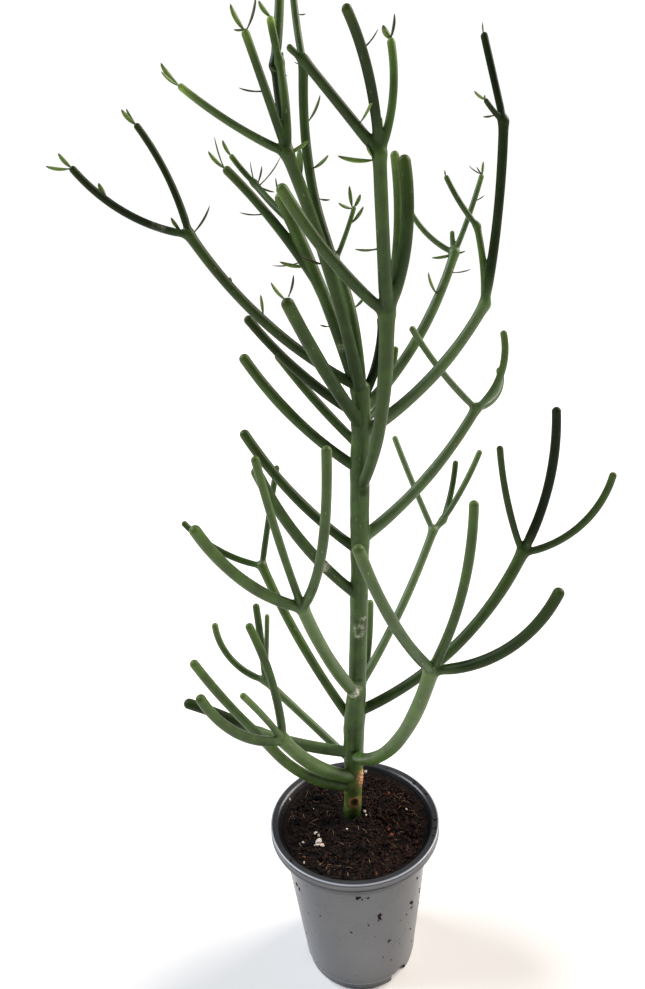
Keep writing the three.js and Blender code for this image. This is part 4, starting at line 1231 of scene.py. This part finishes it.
# One leaf: a ring carried along a line that curves upward. Half its width is (sin(pi t^1.15))^0.55
# of the full half width at share t, its thickness follows the same curve, and its middle is
# sunk below its edges by a share of the width squared across. A dried leaf is a thin curled one.
def leafPoints(node, up, along, grow, dry=0.0, roll=None, aside=False):
    heading, slope, length, width = grow
    shoot, limb = limbUp(node, up)
    way = wayAt(heading, slope)
    thickness = shoot["thick"][0] * (1 - along) + shoot["thick"][1] * along
    foot = pointAlong(limb, along) + way * (thickness / 2 - leafShape["sunkInSkin"] if along < 1
                                             else -leafShape["sunkInTip"])
    if aside and along < 1:
        # from the skin, square to the shoot, so that a steep leaf stands in front of it
        on = limb["ways"][int(along * len(limb["ways"]))]
        square = way - (way @ on) * on
        out = thickness / 2 - leafShape["sunkAside"]
        foot = pointAlong(limb, along) + square / np.linalg.norm(square) * out
    lift = leafShape["lift"]
    turn = leafShape["curl"] * (1 if int(length) % 2 else -1) * (dry > 0.5)
    blade = makeLimb(pencil(length, (heading, turn), (slope - lift * 0.4, lift), (width, width)), foot,
                     steps=leafShape["steps"])
    share = np.linspace(0, 1, leafShape["steps"] + 1)
    half = width / 2 * np.maximum(np.sin(np.pi * share ** 1.15), 0.0) ** 0.55
    half = np.maximum(half * (1 - 0.35 * dry), 0.5 * (1 - share) + 0.15)
    thick = leafShape["thick"] * np.maximum(half / (width / 2), 0.25)
    around = evenTurns(leafShape["around"])
    ways = np.vstack([blade["ways"], blade["ways"][-1:]])
    sides = np.vstack([blade["sides"], blade["sides"][-1:]])
    faces = np.cross(sides, ways)
    roll = leafShape["roll"] if roll is None else roll
    roll = math.radians(roll * (1 if math.cos(math.radians(heading)) < 0 else -1))
    sides, faces = (math.cos(roll) * sides + math.sin(roll) * faces,
                    math.cos(roll) * faces - math.sin(roll) * sides)
    across, up = half[:, None] * np.cos(around), thick[:, None] * np.sin(around)
    up = up + leafShape["trough"] * across ** 2 / np.maximum(half, 0.2)[:, None]
    points = blade["points"][:, None] + across[..., None] * sides[:, None] + up[..., None] * faces[:, None]
    return points.reshape(-1, 3), np.repeat(share, leafShape["around"])


for name, (node, up, along, grow) in leaves.items():
    dryness = 0.85 if name in driedLeaves else 0.0
    points, share = leafPoints(node, up, along, grow, dryness)
    makePiece(camelName(name), points, tubeFaces(*leafRings), leafBlade, "leaf", [name],
              {"along": share, "dryness": 0 * share + dryness})

rng = np.random.default_rng(33)
for node, rows in smallLeaves.items():
    points, shares, dryness, faces = [], [], [], []
    for up, along, grow, dry in rows:
        blade, share = leafPoints(node, up, along, grow, dry, rng.uniform(30, 80), aside=True)
        faces += tubeFaces(*leafRings, sum(len(others) for others in points))
        points.append(blade)
        shares.append(share)
        dryness.append(0 * share + dry)
    makePiece(camelName("small_leaves_" + node), np.vstack(points), faces, leafBlade, "leaf",
              attributes={"along": np.concatenate(shares), "dryness": np.concatenate(dryness)})
print("leaves made")


# The floor: a wide disc with a pale matte finish that takes the plant's soft shadow.
def palePaint():
    material, add, drive = newMaterial("palePaintedBoard", Roughness=0.7, IOR=1.5)
    place = add("TexCoord", out="Object")
    soft = add("TexNoise", {"Vector": place, "Scale": 3.0, "Detail": 2})
    drive(Base_Color=add("ValToRGB", {"Fac": soft}, [(0.3, "#f9f8f6"), (0.7, "#fdfcfa")]))
    return material


def makeFloor():
    turn = evenTurns(96)
    out = np.array([1, 300, 900, 2500, 6000])[:, None]
    points = roundAxis(out, turn, -0.3).reshape(-1, 3)  # just under the pot's foot
    faces = [face[::-1] for face in tubeFaces(len(out), len(turn))[:-1]]
    floor = addObject("studioFloor", solidMesh("studioFloor", points, faces))
    floor.data.materials.append(palePaint())


makeFloor()

studio = {
    "room": ("#ffffff", 0.14),  # soft light from all round
    "backdrop": ("#fffefd", 1.05),  # what shows behind the plant
    "suns": {
        "windowLeft": {"from": (-1.0, 0.25, 0.95), "colour": "#f4f8ff", "strength": 3.3, "spread": 40},
        "windowRight": {"from": (1.0, 0.3, 0.75), "colour": "#fff6ee", "strength": 4.2, "spread": 40},
    },
}


# a wide soft sun from each side, and a room that shines less on the plant than it shows behind it
def lightStudio():
    world = bpy.data.worlds.new("paleStudio")
    bpy.context.scene.world = world
    world.use_nodes = True
    tree = world.node_tree
    seen = addNode(tree, "LightPath", out="Is Camera Ray")
    room = tree.nodes["Background"]
    room.inputs["Color"].default_value = linearColour(studio["room"][0])
    room.inputs["Strength"].default_value = studio["room"][1]
    colour, strength = studio["backdrop"]
    backdrop = addNode(tree, "Background", {"Color": colour, "Strength": strength})
    both = addNode(tree, "MixShader", {0: seen, 1: room.outputs[0], 2: backdrop})
    tree.links.new(both, tree.nodes["World Output"].inputs["Surface"])
    for name, sun in studio["suns"].items():
        data = bpy.data.lights.new(name, "SUN")
        data.energy = sun["strength"]
        data.color = linearColour(sun["colour"])[:3]
        data.angle = math.radians(sun["spread"])
        light = addObject(name, data)
        light.rotation_euler = (-Vector(sun["from"])).to_track_quat("-Z", "Y").to_euler()
    bpy.context.scene.view_settings.view_transform = "Standard"


lightStudio()
print("floor and lights made")
